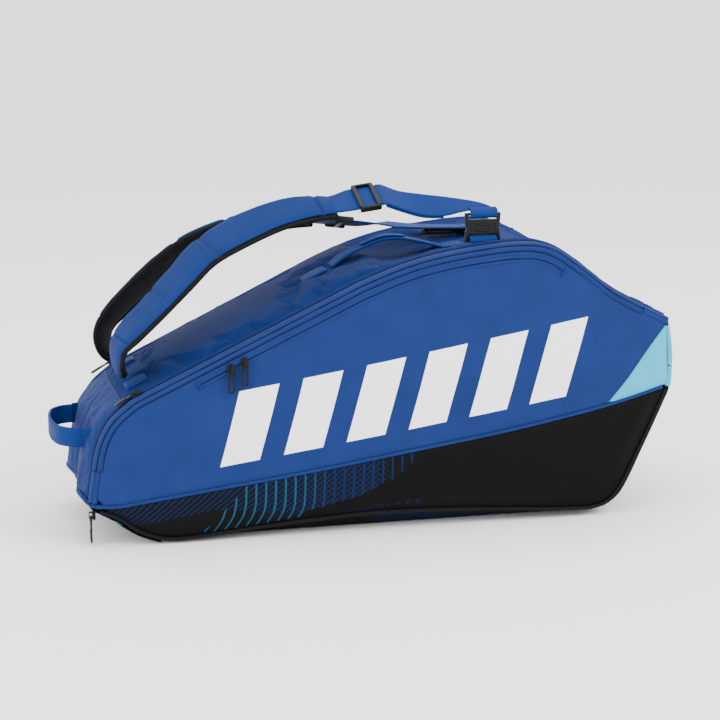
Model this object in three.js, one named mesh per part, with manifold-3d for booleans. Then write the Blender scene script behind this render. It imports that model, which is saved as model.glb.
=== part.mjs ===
// Racket tournament bag: a long, lopsided fabric bag with a straight front and
// rear wall, a band of fabric round the ends and top, two zipped top flaps, two
// padded shoulder straps, a top handle and an end grab loop.
// Millimetres, +X towards the tall end, -Y towards the front, +Z up.
import * as THREE from 'three';
import Module from 'manifold-3d';
import { mergeVertices } from 'three/addons/utils/BufferGeometryUtils.js';

const wasm = await Module();
wasm.setup();

// ---- driving dimensions -----------------------------------------------------
const SKIN = 3;                  // fabric and foam thickness
const GAP = 0.4;                 // clearance between sewn neighbours
const HALF_DEPTH_LOW_END = 110;  // half the depth at the low, narrow end
const HALF_DEPTH_TALL_END = 120; // half the depth at the tall end
const WALL_BULGE = 9;            // how far the walls swell past their seams
const ZIP_HALF = 7;              // width of one zip tape
const ZIP_INSET = 2 * ZIP_HALF + 4 * GAP;
const PIPING_R = 2.2;
const BASE_FLAT_HALF = 90;       // half the width of the flat bottom
const WEBBING = 2.2;             // webbing thickness
const ZIP_RISE = 7;              // the zips and the top stand this much above the wall seams
const RIM_R = 3.2;               // the padded roll between a wall and its zip
const HINGE_CLEARANCE = 5.2;     // the flaps fold about a line this far outside the walls
const TAPE_SKIN = 2;
const END_ZIP_CROWN = 7;
const CENTRE_X = 5.4;            // shift that centres the bag on the origin

// ---- colours ----------------------------------------------------------------
const finish = (color, roughness, metalness = 0) =>
  new THREE.MeshStandardMaterial({ color, roughness, metalness });
const BLUE = finish(0x2f5fa8, 0.75);
const WEB_BLUE = finish(0x1e55a0, 0.8);
const BLACK_FABRIC = finish(0x1a191b, 0.7);
const TEAL = finish(0x7cc8d6, 0.7);
const MESH_BLACK = finish(0x161618, 0.95);
const LINING = finish(0x2b2b30, 0.9);
const BOARD = finish(0x202022, 0.8);
const ZIP_TAPE = finish(0x14213f, 0.8);
const PLASTIC = finish(0x1b1a1c, 0.45);
const GUNMETAL = finish(0x2a2826, 0.35, 0.8);

// ---- outlines in the side view (x, z) ---------------------------------------
const P2 = (x, z) => new THREE.Vector2(x, z);
const P3 = (x, y, z) => new THREE.Vector3(x, y, z);
const spline2 = (...points) => new THREE.SplineCurve(points.map(([x, z]) => P2(x, z)));

function chain(...curves) {
  const path = new THREE.CurvePath();
  curves.forEach((curve) => path.add(curve));
  return path;
}

// Zip side: up the low end, straight up the slope, over the hump to the tall end.
const SLOPE_LOW = [-292, 169];
const SLOPE_HIGH = [-20, 299];
const topEdge = chain(
  spline2([-342, 54], [-338, 78], [-331, 118], [-317, 147], SLOPE_LOW),
  new THREE.LineCurve(P2(...SLOPE_LOW), P2(...SLOPE_HIGH)),
  spline2(SLOPE_HIGH, [24, 316], [62, 327], [112, 336], [174, 342], [214, 337], [250, 315],
    [289, 285], [325, 264], [372, 241]),
);
const waist = spline2([-345, 53], [-320, 51], [-280, 56], [-207, 66], [-95, 81], [31, 100],
  [160, 119], [265, 138], [320, 150], [377, 165]);
const baseSeam = spline2([-345, 46], [-318, 34], [-293, 16], [-262, 5], [-221, 5], [-130, 14],
  [-4, 22], [110, 19], [246, 10], [292, 12], [317, 32], [345, 88], [370, 143], [377, 159]);
const tallEnd = spline2([373, 239], [378, 205], [377, 165], [369, 143], [344, 88], [317, 33],
  [293, 13]);
const lowBase = spline2([-265, 5], [-293, 16], [-318, 34], [-345, 49]);
const FOLD_LOW = P2(-337, 84);   // where the flap's fold line starts and ends
const FOLD_HIGH = P2(346, 258);
const cornerSeam = spline2([292, 144], [322, 178], [348, 213], [371, 242]);

// The parameter at which a left-to-right curve passes x.
function paramAtX(curve, x) {
  let low = 0;
  let high = 1;
  for (let i = 0; i < 40; i += 1) {
    const mid = (low + high) / 2;
    if (curve.getPointAt(mid).x < x) low = mid;
    else high = mid;
  }
  return low;
}

// A point on a curve, moved along its left-hand normal.
function offsetPoint(curve, t, distance) {
  const point = curve.getPointAt(t);
  const tangent = curve.getTangentAt(t);
  return P2(point.x - tangent.y * distance, point.y + tangent.x * distance);
}

const smooth = (t) => THREE.MathUtils.smoothstep(t, 0, 1);
const lerp = THREE.MathUtils.lerp;
const halfDepth = (x) => lerp(HALF_DEPTH_LOW_END, HALF_DEPTH_TALL_END, smooth((x + 350) / 420));

function wallBulge(x, z) {
  const middle = 120 + 0.17 * x;
  const reach = 178 - 0.25 * Math.abs(x - 120);
  const along = Math.max(0, 1 - (x / 392) ** 4);
  const across = Math.max(0, 1 - Math.abs((z - middle) / reach) ** 3);
  return WALL_BULGE * along * across;
}

// How far the top and the low end swell between the zips; over the hump the top sags.
function topCrown(x) {
  const lowEnd = lerp(16, 5, smooth((x + 338) / 50));
  const hump = lerp(lowEnd, -16, smooth((x + 40) / 130));
  return lerp(hump, 2, smooth((x - 170) / 130));
}

// The divider holds the low end in, between the two bays.
const lowEndValley = (x) => 17 * (1 - smooth((x + 338) / 40));

// ---- solids -----------------------------------------------------------------
function closedGeometry(positions, triangles) {
  const geometry = new THREE.BufferGeometry();
  geometry.setAttribute('position', new THREE.Float32BufferAttribute(positions, 3));
  const a = new THREE.Vector3();
  const b = new THREE.Vector3();
  const c = new THREE.Vector3();
  let volume = 0;
  for (let i = 0; i < triangles.length; i += 3) {
    a.fromArray(positions, 3 * triangles[i]);
    b.fromArray(positions, 3 * triangles[i + 1]);
    c.fromArray(positions, 3 * triangles[i + 2]);
    volume += a.dot(b.cross(c));
  }
  geometry.setIndex(volume < 0 ? triangles.reverse() : triangles);
  return geometry;
}

// A sheet over a (u, v) grid, thickened from its outer face by a constant amount.
function slab(surface, uSteps, vSteps, thickness) {
  const step = 1e-3;
  const outer = [];
  const inner = [];
  for (let i = 0; i <= uSteps; i += 1) {
    for (let j = 0; j <= vSteps; j += 1) {
      const u = i / uSteps;
      const v = j / vSteps;
      const point = surface(u, v);
      const alongU = surface(Math.min(1, u + step), v).sub(surface(Math.max(0, u - step), v));
      const alongV = surface(u, Math.min(1, v + step)).sub(surface(u, Math.max(0, v - step)));
      const normal = alongU.cross(alongV).normalize();
      outer.push(point);
      inner.push(point.clone().addScaledVector(normal, -thickness));
    }
  }
  const row = vSteps + 1;
  const count = outer.length;
  const positions = [...outer, ...inner].flatMap((p) => p.toArray());
  const triangles = [];
  const quad = (a, b, c, d) => triangles.push(a, b, c, a, c, d);
  for (let i = 0; i < uSteps; i += 1) {
    for (let j = 0; j < vSteps; j += 1) {
      const a = i * row + j;
      quad(a, a + row, a + row + 1, a + 1);
      quad(count + a, count + a + 1, count + a + row + 1, count + a + row);
    }
  }
  for (let i = 0; i < uSteps; i += 1) {
    const near = i * row;
    const far = near + vSteps;
    quad(near, count + near, count + near + row, near + row);
    quad(far, far + row, count + far + row, count + far);
  }
  for (let j = 0; j < vSteps; j += 1) {
    const end = uSteps * row + j;
    quad(j, j + 1, count + j + 1, count + j);
    quad(end, count + end, count + end + 1, end + 1);
  }
  return closedGeometry(positions, triangles);
}

// A piece of the front (side -1) or rear (side +1) wall between two outline rails.
function wallPiece(side, lowRail, highRail, uSteps, vSteps, depthOffset = 0, skin = SKIN) {
  const surface = (u, v) => {
    const low = lowRail(u);
    const high = highRail(u);
    const x = lerp(low.x, high.x, v);
    const z = lerp(low.y, high.y, v);
    return P3(x, side * (halfDepth(x) + GAP + SKIN + wallBulge(x, z) + depthOffset), z);
  };
  return slab(surface, uSteps, vSteps, -side * skin);
}

// A point on the band of fabric round the bag, crowned across its width.
function bandPoint(curve, t, y, crown, lift, inset = ZIP_INSET) {
  const { x } = curve.getPointAt(t);
  const across = y / (halfDepth(x) - inset);
  const arch = 1 - across * across;
  const onTop = curve === topEdge;
  const rise = onTop ? ZIP_RISE : 0;
  const valley = onTop ? lowEndValley(x) * arch ** 4 : 0;
  const point = offsetPoint(curve, t, SKIN + rise + lift + crown * arch - valley);
  return P3(point.x, y, point.y);
}

// A band across the bag that follows an outline.
function band(curve, from, to, crownAt, steps, inset = ZIP_INSET) {
  const surface = (u, v) => {
    const t = lerp(from, to, u);
    const { x } = curve.getPointAt(t);
    const y = (2 * v - 1) * (halfDepth(x) - inset);
    return bandPoint(curve, t, y, crownAt(x, u), 0, inset);
  };
  return slab(surface, steps, 8, SKIN);
}

// A sewn patch that lies on a band.
function patch(curve, x0, x1, y0, y1, thickness, steps = 3) {
  const from = paramAtX(curve, x0);
  const to = paramAtX(curve, x1);
  const surface = (u, v) => {
    const t = lerp(from, to, u);
    return bandPoint(curve, t, lerp(y0, y1, v), topCrown(curve.getPointAt(t).x), GAP + thickness);
  };
  return slab(surface, steps, 2, thickness);
}

// A narrow strip beside the wall seam; near and far are distances from the seam.
function seamStrip(side, curve, from, to, nearAt, far, steps, lift) {
  const surface = (u, v) => {
    const t = lerp(from, to, u);
    const point = offsetPoint(curve, t, lift);
    const x = curve.getPointAt(t).x;
    return P3(point.x, side * (halfDepth(x) - lerp(nearAt(u), far, v)), point.y);
  };
  return slab(surface, steps, 1, -side * TAPE_SKIN);
}

function tube(points, radius, sides, steps) {
  const section = new THREE.Shape();
  for (let i = 0; i < sides; i += 1) {
    const angle = (2 * Math.PI * i) / sides;
    const corner = [radius * Math.cos(angle), radius * Math.sin(angle)];
    if (i === 0) section.moveTo(...corner);
    else section.lineTo(...corner);
  }
  section.closePath();
  const extrudePath = new THREE.CatmullRomCurve3(points);
  return new THREE.ExtrudeGeometry(section, { steps, extrudePath, bevelEnabled: false });
}

// Piping along a seam of the front or rear wall.
function piping(side, curve, from, to, outward, steps, radius = PIPING_R) {
  const points = [];
  for (let i = 0; i <= 24; i += 1) {
    const t = lerp(from, to, i / 24);
    const point = offsetPoint(curve, t, outward);
    const seam = curve.getPointAt(t);
    points.push(P3(point.x, side * (halfDepth(seam.x) + GAP + radius), point.y));
  }
  return tube(points, radius, 6, steps);
}

// A flat strap between two edge curves, thickened from its outer face.
function ribbon(leftEdge, rightEdge, steps, lift, thickness) {
  const left = new THREE.CatmullRomCurve3(leftEdge.map((p) => P3(...p)));
  const right = new THREE.CatmullRomCurve3(rightEdge.map((p) => P3(...p)));
  const bare = (u, v) => left.getPoint(u).lerp(right.getPoint(u), v);
  const surface = (u, v) => {
    const step = 1e-3;
    const along = bare(Math.min(1, u + step), v).sub(bare(Math.max(0, u - step), v));
    const across = right.getPoint(u).sub(left.getPoint(u));
    return bare(u, v).addScaledVector(along.cross(across).normalize(), lift);
  };
  return slab(surface, steps, 2, thickness);
}

function roundedRect(shape, width, height, radius) {
  const x = width / 2;
  const y = height / 2;
  shape.moveTo(-x + radius, -y);
  shape.lineTo(x - radius, -y);
  shape.absarc(x - radius, -y + radius, radius, -Math.PI / 2, 0);
  shape.lineTo(x, y - radius);
  shape.absarc(x - radius, y - radius, radius, 0, Math.PI / 2);
  shape.lineTo(-x + radius, y);
  shape.absarc(-x + radius, y - radius, radius, Math.PI / 2, Math.PI);
  shape.lineTo(-x, -y + radius);
  shape.absarc(-x + radius, -y + radius, radius, Math.PI, 1.5 * Math.PI);
  return shape;
}

// A flat plate in the local XY plane with rounded-rectangle windows.
function framePlate(width, height, thickness, radius, windows) {
  const shape = roundedRect(new THREE.Shape(), width, height, radius);
  windows.forEach(([cx, cy, w, h]) => {
    const hole = roundedRect(new THREE.Path(), w, h, Math.min(w, h) * 0.3);
    const points = hole.getPoints(2).map((p) => P2(p.x + cx, p.y + cy));
    shape.holes.push(new THREE.Path(points));
  });
  const options = { depth: thickness, bevelEnabled: false, curveSegments: 2 };
  return new THREE.ExtrudeGeometry(shape, options).translate(0, 0, -thickness / 2);
}

function toSolid(geometry) {
  const bare = geometry.clone();
  bare.deleteAttribute('normal');
  bare.deleteAttribute('uv');
  const merged = mergeVertices(bare, 1e-4);
  return new wasm.Manifold(new wasm.Mesh({
    numProp: 3,
    vertProperties: new Float32Array(merged.attributes.position.array),
    triVerts: new Uint32Array(merged.index.array),
  }));
}

function fromSolid(solid) {
  const mesh = solid.getMesh();
  const geometry = new THREE.BufferGeometry();
  geometry.setAttribute('position', new THREE.BufferAttribute(mesh.vertProperties, 3));
  geometry.setIndex(new THREE.BufferAttribute(mesh.triVerts, 1));
  return geometry;
}

// ---- scene graph helpers ----------------------------------------------------
const bag = new THREE.Group();
bag.position.set(CENTRE_X, 0, 0);

// A moving body: a group placed at its joint.
function bodyAt(parent, name, pivot) {
  const group = new THREE.Group();
  group.name = name;
  group.userData.pivot = P3(...pivot);
  group.position.copy(group.userData.pivot);
  if (parent.userData.pivot) group.position.sub(parent.userData.pivot);
  parent.add(group);
  return group;
}

// A piece whose geometry is in the bag's own frame.
function piece(parent, name, geometry, material) {
  const mesh = new THREE.Mesh(geometry, material);
  mesh.name = name;
  if (parent.userData.pivot) mesh.position.copy(parent.userData.pivot).negate();
  parent.add(mesh);
  return mesh;
}

// A placement whose local x, y and z axes point along the given directions.
function placement(origin, xAxis, yAxis) {
  const x = P3(...xAxis).normalize();
  const z = x.clone().cross(P3(...yAxis)).normalize();
  const y = z.clone().cross(x);
  return new THREE.Matrix4().makeBasis(x, y, z).setPosition(...origin);
}

// ---- walls ------------------------------------------------------------------
const railOf = (curve, from, to, outward = 0) => (u) =>
  offsetPoint(curve, lerp(from, to, u), outward);
const foldRail = (raise) => (u) => P2(
  lerp(FOLD_LOW.x, FOLD_HIGH.x, u),
  lerp(FOLD_LOW.y, FOLD_HIGH.y, u) + raise,
);
const zipStart = paramAtX(topEdge, FOLD_LOW.x);
const zipEnd = paramAtX(topEdge, FOLD_HIGH.x);
const cornerStart = paramAtX(waist, 292);
const TAPE_STEPS = 36;
const tapeParam = (station) => lerp(0.004, 0.996, station / TAPE_STEPS);

// The upper rail of the fixed blue wall: the fold line, then the zip side's last stretch.
function middleTop(u) {
  const turn = 0.96;
  if (u < turn) return foldRail(-0.6)(u / turn);
  const end = cornerSeam.getPointAt(1);
  const t = (u - turn) / (1 - turn);
  return P2(lerp(FOLD_HIGH.x, end.x - 2, t), lerp(FOLD_HIGH.y - 0.6, end.y - 1, t));
}

function addWalls(side, label) {
  const lowerLow = railOf(baseSeam, 0, 1, 5);
  const lowerHigh = railOf(waist, 0.01, 0.985, -PIPING_R - 2 * GAP);
  piece(bag, `${label}_lower_panel`, wallPiece(side, lowerLow, lowerHigh, 18, 3), BLACK_FABRIC);
  const middleLow = railOf(waist, 0.02, cornerStart, PIPING_R + 2 * GAP);
  piece(bag, `${label}_middle_panel`, wallPiece(side, middleLow, middleTop, 16, 3), BLUE);
  const cornerLow = railOf(waist, cornerStart + 0.008, 0.995, PIPING_R + GAP);
  const cornerHigh = railOf(cornerSeam, 0.1, 1, -0.8);
  piece(bag, `${label}_corner_panel`, wallPiece(side, cornerLow, cornerHigh, 6, 2), TEAL);
  piece(bag, `${label}_waist_piping`, piping(side, waist, 0.004, 0.99, 0, 30), WEB_BLUE);
  piece(bag, `${label}_base_piping`, piping(side, baseSeam, 0.01, 0.98, 2.4, 34), BLACK_FABRIC);
}

function addFlap(side, label) {
  const outside = HALF_DEPTH_LOW_END + GAP + SKIN + WALL_BULGE + HINGE_CLEARANCE;
  const pivot = [FOLD_LOW.x, side * outside, FOLD_LOW.y];
  const flap = bodyAt(bag, `${label}_flap`, pivot);
  const topRail = railOf(topEdge, zipStart + 0.012, zipEnd - 0.01, SKIN - 0.5);
  piece(flap, `${label}_flap_panel`, wallPiece(side, foldRail(0.8), topRail, 20, 3), BLUE);
  const rimAt = SKIN + RIM_R + GAP;
  const rim = piping(side, topEdge, zipStart + 0.02, zipEnd - 0.02, rimAt, 30, RIM_R);
  piece(flap, `${label}_flap_piping`, rim, BLUE);
  const [from, to] = [tapeParam(2.1), tapeParam(TAPE_STEPS - 2.1)];
  const lift = SKIN + ZIP_RISE - 1.2;
  const tape = seamStrip(side, topEdge, from, to, () => GAP, ZIP_HALF, TAPE_STEPS, lift);
  piece(flap, `${label}_zip_flap_tape`, tape, ZIP_TAPE);
  return flap;
}

// The fixed tape is full width at both ends and half width where the zip opens.
function addBodyTape(side, label) {
  const nearAt = (u) => {
    const stationsIn = Math.min(u, 1 - u) * TAPE_STEPS;
    return lerp(GAP, ZIP_HALF + GAP, THREE.MathUtils.clamp(stationsIn - 1, 0, 1));
  };
  const [from, to] = [tapeParam(0), tapeParam(TAPE_STEPS)];
  const lift = SKIN + ZIP_RISE;
  const tape = seamStrip(side, topEdge, from, to, nearAt, 2 * ZIP_HALF, TAPE_STEPS, lift);
  piece(bag, `${label}_zip_body_tape`, tape, ZIP_TAPE);
}

addWalls(-1, 'front');
addWalls(1, 'rear');
addBodyTape(-1, 'front');
addBodyTape(1, 'rear');

// ---- ends, top and base -----------------------------------------------------
const cornerT = paramAtX(topEdge, -300);
piece(bag, 'left_end_panel', band(topEdge, 0.004, cornerT, topCrown, 12), BLUE);
piece(bag, 'top_gusset', band(topEdge, cornerT + 0.001, 0.996, topCrown, 24), BLUE);
piece(bag, 'right_end_upper', band(tallEnd, 0.01, 0.245, () => 4, 4, GAP), BLUE);
piece(bag, 'right_end_lower', band(tallEnd, 0.25, 0.99, () => 5, 9, GAP), BLACK_FABRIC);
piece(bag, 'left_base_panel', band(lowBase, 0.02, 0.86, (x, u) => END_ZIP_CROWN * u, 5, GAP),
  BLACK_FABRIC);
piece(bag, 'base_end_zip', band(lowBase, 0.87, 0.99, () => END_ZIP_CROWN, 2, GAP), ZIP_TAPE);

function basePanel() {
  const from = paramAtX(baseSeam, -261);
  const to = paramAtX(baseSeam, 287);
  const surface = (u, v) => {
    const seam = baseSeam.getPointAt(lerp(from, to, u));
    const station = Math.min(2, Math.floor(Math.abs(6 * v - 3) + 1e-6));
    const edge = Math.abs(6 * v - 3);
    const side = Math.sign(v - 0.5);
    const outerY = halfDepth(seam.x) - GAP;
    const ys = [0, BASE_FLAT_HALF, 0.5 * (BASE_FLAT_HALF + outerY), outerY];
    const zs = [0, 0, 0.3 * (seam.y - 1), seam.y - 1];
    const t = edge - station;
    return P3(seam.x, side * lerp(ys[station], ys[station + 1], t),
      lerp(zs[station], zs[station + 1], t));
  };
  return slab(surface, 14, 6, -SKIN);
}
piece(bag, 'base_panel', basePanel(), BLACK_FABRIC);

// A stiff board on the base and a padded divider between the two racket bays.
function flatBoard(x0, x1, y, z0, z1) {
  const board = new THREE.BoxGeometry(x1 - x0, 2 * y, z1 - z0);
  return board.translate((x0 + x1) / 2, 0, (z0 + z1) / 2);
}
piece(bag, 'base_board', flatBoard(-240, 262, 84, SKIN + 0.6, SKIN + 3.6), BOARD);

function divider() {
  const low = railOf(baseSeam, paramAtX(baseSeam, -310), paramAtX(baseSeam, 300), 7);
  const high = railOf(topEdge, paramAtX(topEdge, -328), paramAtX(topEdge, 340), -12);
  const surface = (u, v) => {
    const a = low(u);
    const b = high(u);
    return P3(lerp(a.x, b.x, v), 2.5, lerp(Math.max(a.y, 10), b.y, v));
  };
  return slab(surface, 20, 1, -5);
}
piece(bag, 'centre_divider', divider(), LINING);

function pocketLining() {
  const low = foldRail(12);
  const high = railOf(topEdge, paramAtX(topEdge, -318), paramAtX(topEdge, 322), -12);
  const trimmed = (u) => low(lerp(0.06, 0.92, u));
  return wallPiece(-1, trimmed, high, 18, 3, -SKIN - 3, 1.2);
}

// ---- zip sliders and pullers ------------------------------------------------
const SLIDER = { length: 12, width: 9, height: 3.2, bridge: 3, loop: 9, rise: 5 };
const PULLER = { width: 8.5, thickness: 1.6, bar: 1.6, link: 6, length: 28 };
const PULLER_HINGE = [-1.6, 0, SLIDER.height + 2];

function sliderGeometry() {
  const base = framePlate(SLIDER.length, SLIDER.width, SLIDER.height, 2.5, [])
    .translate(0, 0, SLIDER.height / 2);
  const bridge = framePlate(SLIDER.loop, SLIDER.rise, SLIDER.bridge, 1, [[0, 0, 5.8, 3.2]])
    .rotateX(Math.PI / 2).translate(0, 0, SLIDER.height + SLIDER.rise / 2 - 0.5);
  return fromSolid(toSolid(base).add(toSolid(bridge)));
}

// A pull tab that reaches along local -x from its bar; slotted ones are open loops.
function pullerGeometry(length, slotted) {
  const windows = [[length / 2 - PULLER.bar - PULLER.link / 2, 0, PULLER.link, 5.2]];
  if (slotted) {
    const slot = length - 2 * PULLER.bar - PULLER.link - 4;
    windows.push([-length / 2 + 2 + slot / 2, 0, slot, 3.6]);
  }
  return framePlate(length, PULLER.width, PULLER.thickness, 2, windows)
    .translate(-length / 2 + PULLER.bar / 2, 0, 0);
}

// A slider placed on a zip, with its puller on a hinge across the slider.
function addSlider(parent, name, origin, xAxis, yAxis, pullerTurn, length, slotted, material) {
  const frame = placement(origin, xAxis, yAxis);
  const hinge = P3(...PULLER_HINGE).applyMatrix4(frame);
  const body = bodyAt(parent, `${name}_slider`, origin);
  piece(body, `${name}_slider`, sliderGeometry().applyMatrix4(frame), material);
  const puller = bodyAt(body, `${name}_puller`, hinge.toArray());
  const tab = pullerGeometry(length, slotted)
    .rotateY(pullerTurn)
    .translate(...PULLER_HINGE)
    .applyMatrix4(frame);
  piece(puller, `${name}_puller`, tab, material);
}

const slopeAngle = Math.atan2(SLOPE_HIGH[1] - SLOPE_LOW[1], SLOPE_HIGH[0] - SLOPE_LOW[0]);
const slope = [Math.cos(slopeAngle), 0, Math.sin(slopeAngle)];

function addMainSlider(side, label, x) {
  const t = paramAtX(topEdge, x);
  const point = offsetPoint(topEdge, t, SKIN + ZIP_RISE + GAP);
  const origin = [point.x, side * (halfDepth(x) - ZIP_HALF - 0.2), point.y];
  addSlider(bag, `${label}_main_zip`, origin, slope, [0, 1, 0], -0.08, 30, false, GUNMETAL);
}
addMainSlider(-1, 'front', -284);
addMainSlider(1, 'rear', -290);

const frontFlap = addFlap(-1, 'front');
addFlap(1, 'rear');
piece(frontFlap, 'pocket_lining', pocketLining(), LINING);

const pocketFrom = paramAtX(topEdge, -222);
const pocketTo = paramAtX(topEdge, 240);
const POCKET_DROP = 9;           // pocket zip below the flap's top seam
const POCKET_TAPE_OUT = 2.4;     // the pocket's zip tape stands this far off the wall
const SLIDER_CLEARANCE = 1.6;
const pocketTape = wallPiece(-1, railOf(topEdge, pocketFrom, pocketTo, -POCKET_DROP - 4),
  railOf(topEdge, pocketFrom, pocketTo, -POCKET_DROP + 4), 20, 1, POCKET_TAPE_OUT, 1);
piece(frontFlap, 'pocket_zip_tape', pocketTape, ZIP_TAPE);

[['pocket_left', -184], ['pocket_right', -168]].forEach(([name, x]) => {
  const point = offsetPoint(topEdge, paramAtX(topEdge, x), -POCKET_DROP);
  const wall = halfDepth(point.x) + GAP + SKIN + wallBulge(point.x, point.y);
  const y = -(wall + POCKET_TAPE_OUT + SLIDER_CLEARANCE);
  const origin = [point.x, y, point.y];
  addSlider(frontFlap, name, origin, [0, 0, 1], [-1, 0, 0], 0, 28, true, GUNMETAL);
});

function addBaseSlider() {
  const y = -97;
  const reach = HALF_DEPTH_LOW_END - GAP;
  const lean = Math.atan((2 * END_ZIP_CROWN * -y) / (reach * reach));
  const spot = bandPoint(lowBase, 0.93, y, END_ZIP_CROWN, 5.4, GAP);
  const out = [-Math.sin(lean), Math.cos(lean), 0];
  addSlider(bag, 'base_end_zip', spot.toArray(), [0, 0, 1], out, 0, 34, false, GUNMETAL);
}
addBaseSlider();

// ---- shoulder straps --------------------------------------------------------
// Inner and outer edges of each pad, from the root up over the top.
const frontInner = [[-298, -51, 196], [-306, -38, 206], [-310, -30, 219], [-309, -28, 237],
  [-297, -27, 257], [-274, -27, 281], [-240, -28, 318], [-209, -28, 351], [-167, -30, 378],
  [-131, -32, 393], [-95, -35, 403], [-66, -37, 405], [-38, -38, 403]];
const frontOuter = [[-299, -59, 195], [-303, -74, 205], [-305, -83, 218], [-301, -84, 234],
  [-284, -84, 249], [-257, -84, 274], [-222, -84, 308], [-192, -84, 337], [-157, -83, 356],
  [-114, -80, 374], [-84, -77, 382], [-60, -75, 386], [-38, -74, 388]];
const rearInner = [[-298, 51, 196], [-312, 38, 204], [-322, 30, 219], [-324, 28, 240],
  [-312, 27, 264], [-286, 28, 292], [-249, 28, 326], [-212, 29, 351], [-172, 30, 367],
  [-134, 32, 376], [-97, 34, 379], [-66, 36, 377], [-38, 37, 370.5]];
const rearOuter = [[-296, 59, 195], [-300, 74, 204], [-302, 83, 217], [-297, 84, 234],
  [-277, 84, 253], [-252, 84, 275], [-221, 84, 300], [-192, 84, 319], [-161, 83, 335],
  [-126, 80, 347], [-91, 77, 353], [-62, 75, 357], [-38, 73, 358.6]];
const STRAP_Y = 56;              // distance of each strap's root from the middle
const PAD_SHELL = 5;
const PAD_BACKING = 5;

function addStrap(side, label, inner, outer) {
  const hingeY = side * STRAP_Y;
  const strap = bodyAt(bag, `${label}_strap`, [-296, hingeY, 190]);
  const rails = side < 0 ? [inner, outer] : [outer, inner];
  const lift = PAD_SHELL;
  const shell = ribbon(rails[1], rails[0], 26, lift, PAD_SHELL);
  const backing = ribbon(rails[1], rails[0], 26, -GAP, PAD_BACKING);
  piece(strap, `${label}_strap_pad`, shell, BLUE);
  piece(strap, `${label}_strap_backing`, backing, MESH_BLACK);
  const tab = patch(topEdge, -291, -268, hingeY - 12, hingeY + 12, 2);
  piece(bag, `${label}_strap_tab`, tab, WEB_BLUE);
  return strap;
}

const frontStrap = addStrap(-1, 'front', frontInner, frontOuter);
const rearStrap = addStrap(1, 'rear', rearInner, rearOuter);

// Webbing from the pads to the hardware at the hump.
const frontWebInner = [[-37, -38, 403.4], [-20, -38, 412], [-9, -38, 413.5], [2, -38, 415],
  [13, -38, 416.5], [24, -38, 418], [46, -41, 410], [74, -49, 406], [104, -62, 403],
  [138, -80, 398], [159, -89, 390]];
const frontWebOuter = [[-37, -74, 388.4], [-20, -74, 392], [-9, -74, 393.5], [2, -74, 395],
  [13, -74, 396.5], [24, -74, 398], [44, -76, 391], [68, -80, 384], [92, -86, 383.5],
  [110, -91, 388], [123, -92, 390]];
const rearWebInner = [[-37, 37, 370], [-6, 37, 366], [25, 37, 362], [60, 37, 355.5]];
const rearWebOuter = [[-37, 73, 358.5], [-6, 73, 355.5], [25, 73, 353], [60, 73, 356.5]];
const rearEndInner = [[63, 37, 353.8], [94, 37, 352], [128, 36, 351], [158, 34, 350.4]];
const rearEndOuter = [[63, 73, 356.7], [94, 72, 353], [128, 70, 351.2], [158, 67, 350.4]];
piece(frontStrap, 'front_strap_webbing', ribbon(frontWebOuter, frontWebInner, 20, 1, WEBBING),
  WEB_BLUE);
piece(rearStrap, 'rear_strap_webbing', ribbon(rearWebInner, rearWebOuter, 8, 1, WEBBING),
  WEB_BLUE);
piece(bag, 'rear_strap_webbing_end', ribbon(rearEndInner, rearEndOuter, 6, 1, WEBBING),
  WEB_BLUE);

// A ladder lock: two end bars over the webbing and a middle bar under it.
function ladderLock() {
  const box = (sx, sy, sz, x, y, z) =>
    toSolid(new THREE.BoxGeometry(sx, sy, sz).translate(x, y, z));
  let solid = box(27, 3.2, 8, 0, 22.4, 0).add(box(27, 3.2, 8, 0, -22.4, 0));
  solid = solid.add(box(5, 43, 1.6, 11, 0, 3.2)).add(box(5, 43, 1.6, -11, 0, 3.2));
  return fromSolid(solid.add(box(5, 43, 1.6, 0, 0, -3.2)));
}

function addLadderLock(strap, label, inner, outer, at) {
  const along = P3(...inner[at + 1]).sub(P3(...inner[at - 1]));
  const across = P3(...inner[at]).sub(P3(...outer[at]));
  if (across.y < 0) across.negate();
  const middle = P3(...inner[at]).lerp(P3(...outer[at]), 0.5);
  const frame = placement(middle.toArray(), along.toArray(), across.toArray());
  const lock = bodyAt(strap, `${label}_ladder_lock`, middle.toArray());
  piece(lock, `${label}_ladder_lock`, ladderLock().applyMatrix4(frame), PLASTIC);
}
addLadderLock(frontStrap, 'front', frontWebInner, frontWebOuter, 3);
addLadderLock(rearStrap, 'rear', rearWebInner, rearWebOuter, 1);

// The front strap ends in an upright buckle over a webbing bar.
const buckle = framePlate(46, 36, 6, 5, [[0, 12.5, 37, 5], [0, -12, 37, 6]])
  .applyMatrix4(placement([140, -92, 368.6], [1, 0, 0], [0, 0, 1]));
piece(frontStrap, 'front_buckle', buckle, PLASTIC);
piece(bag, 'front_buckle_tab', patch(topEdge, 124, 157, -99, -86, 1.4), WEB_BLUE);

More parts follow.
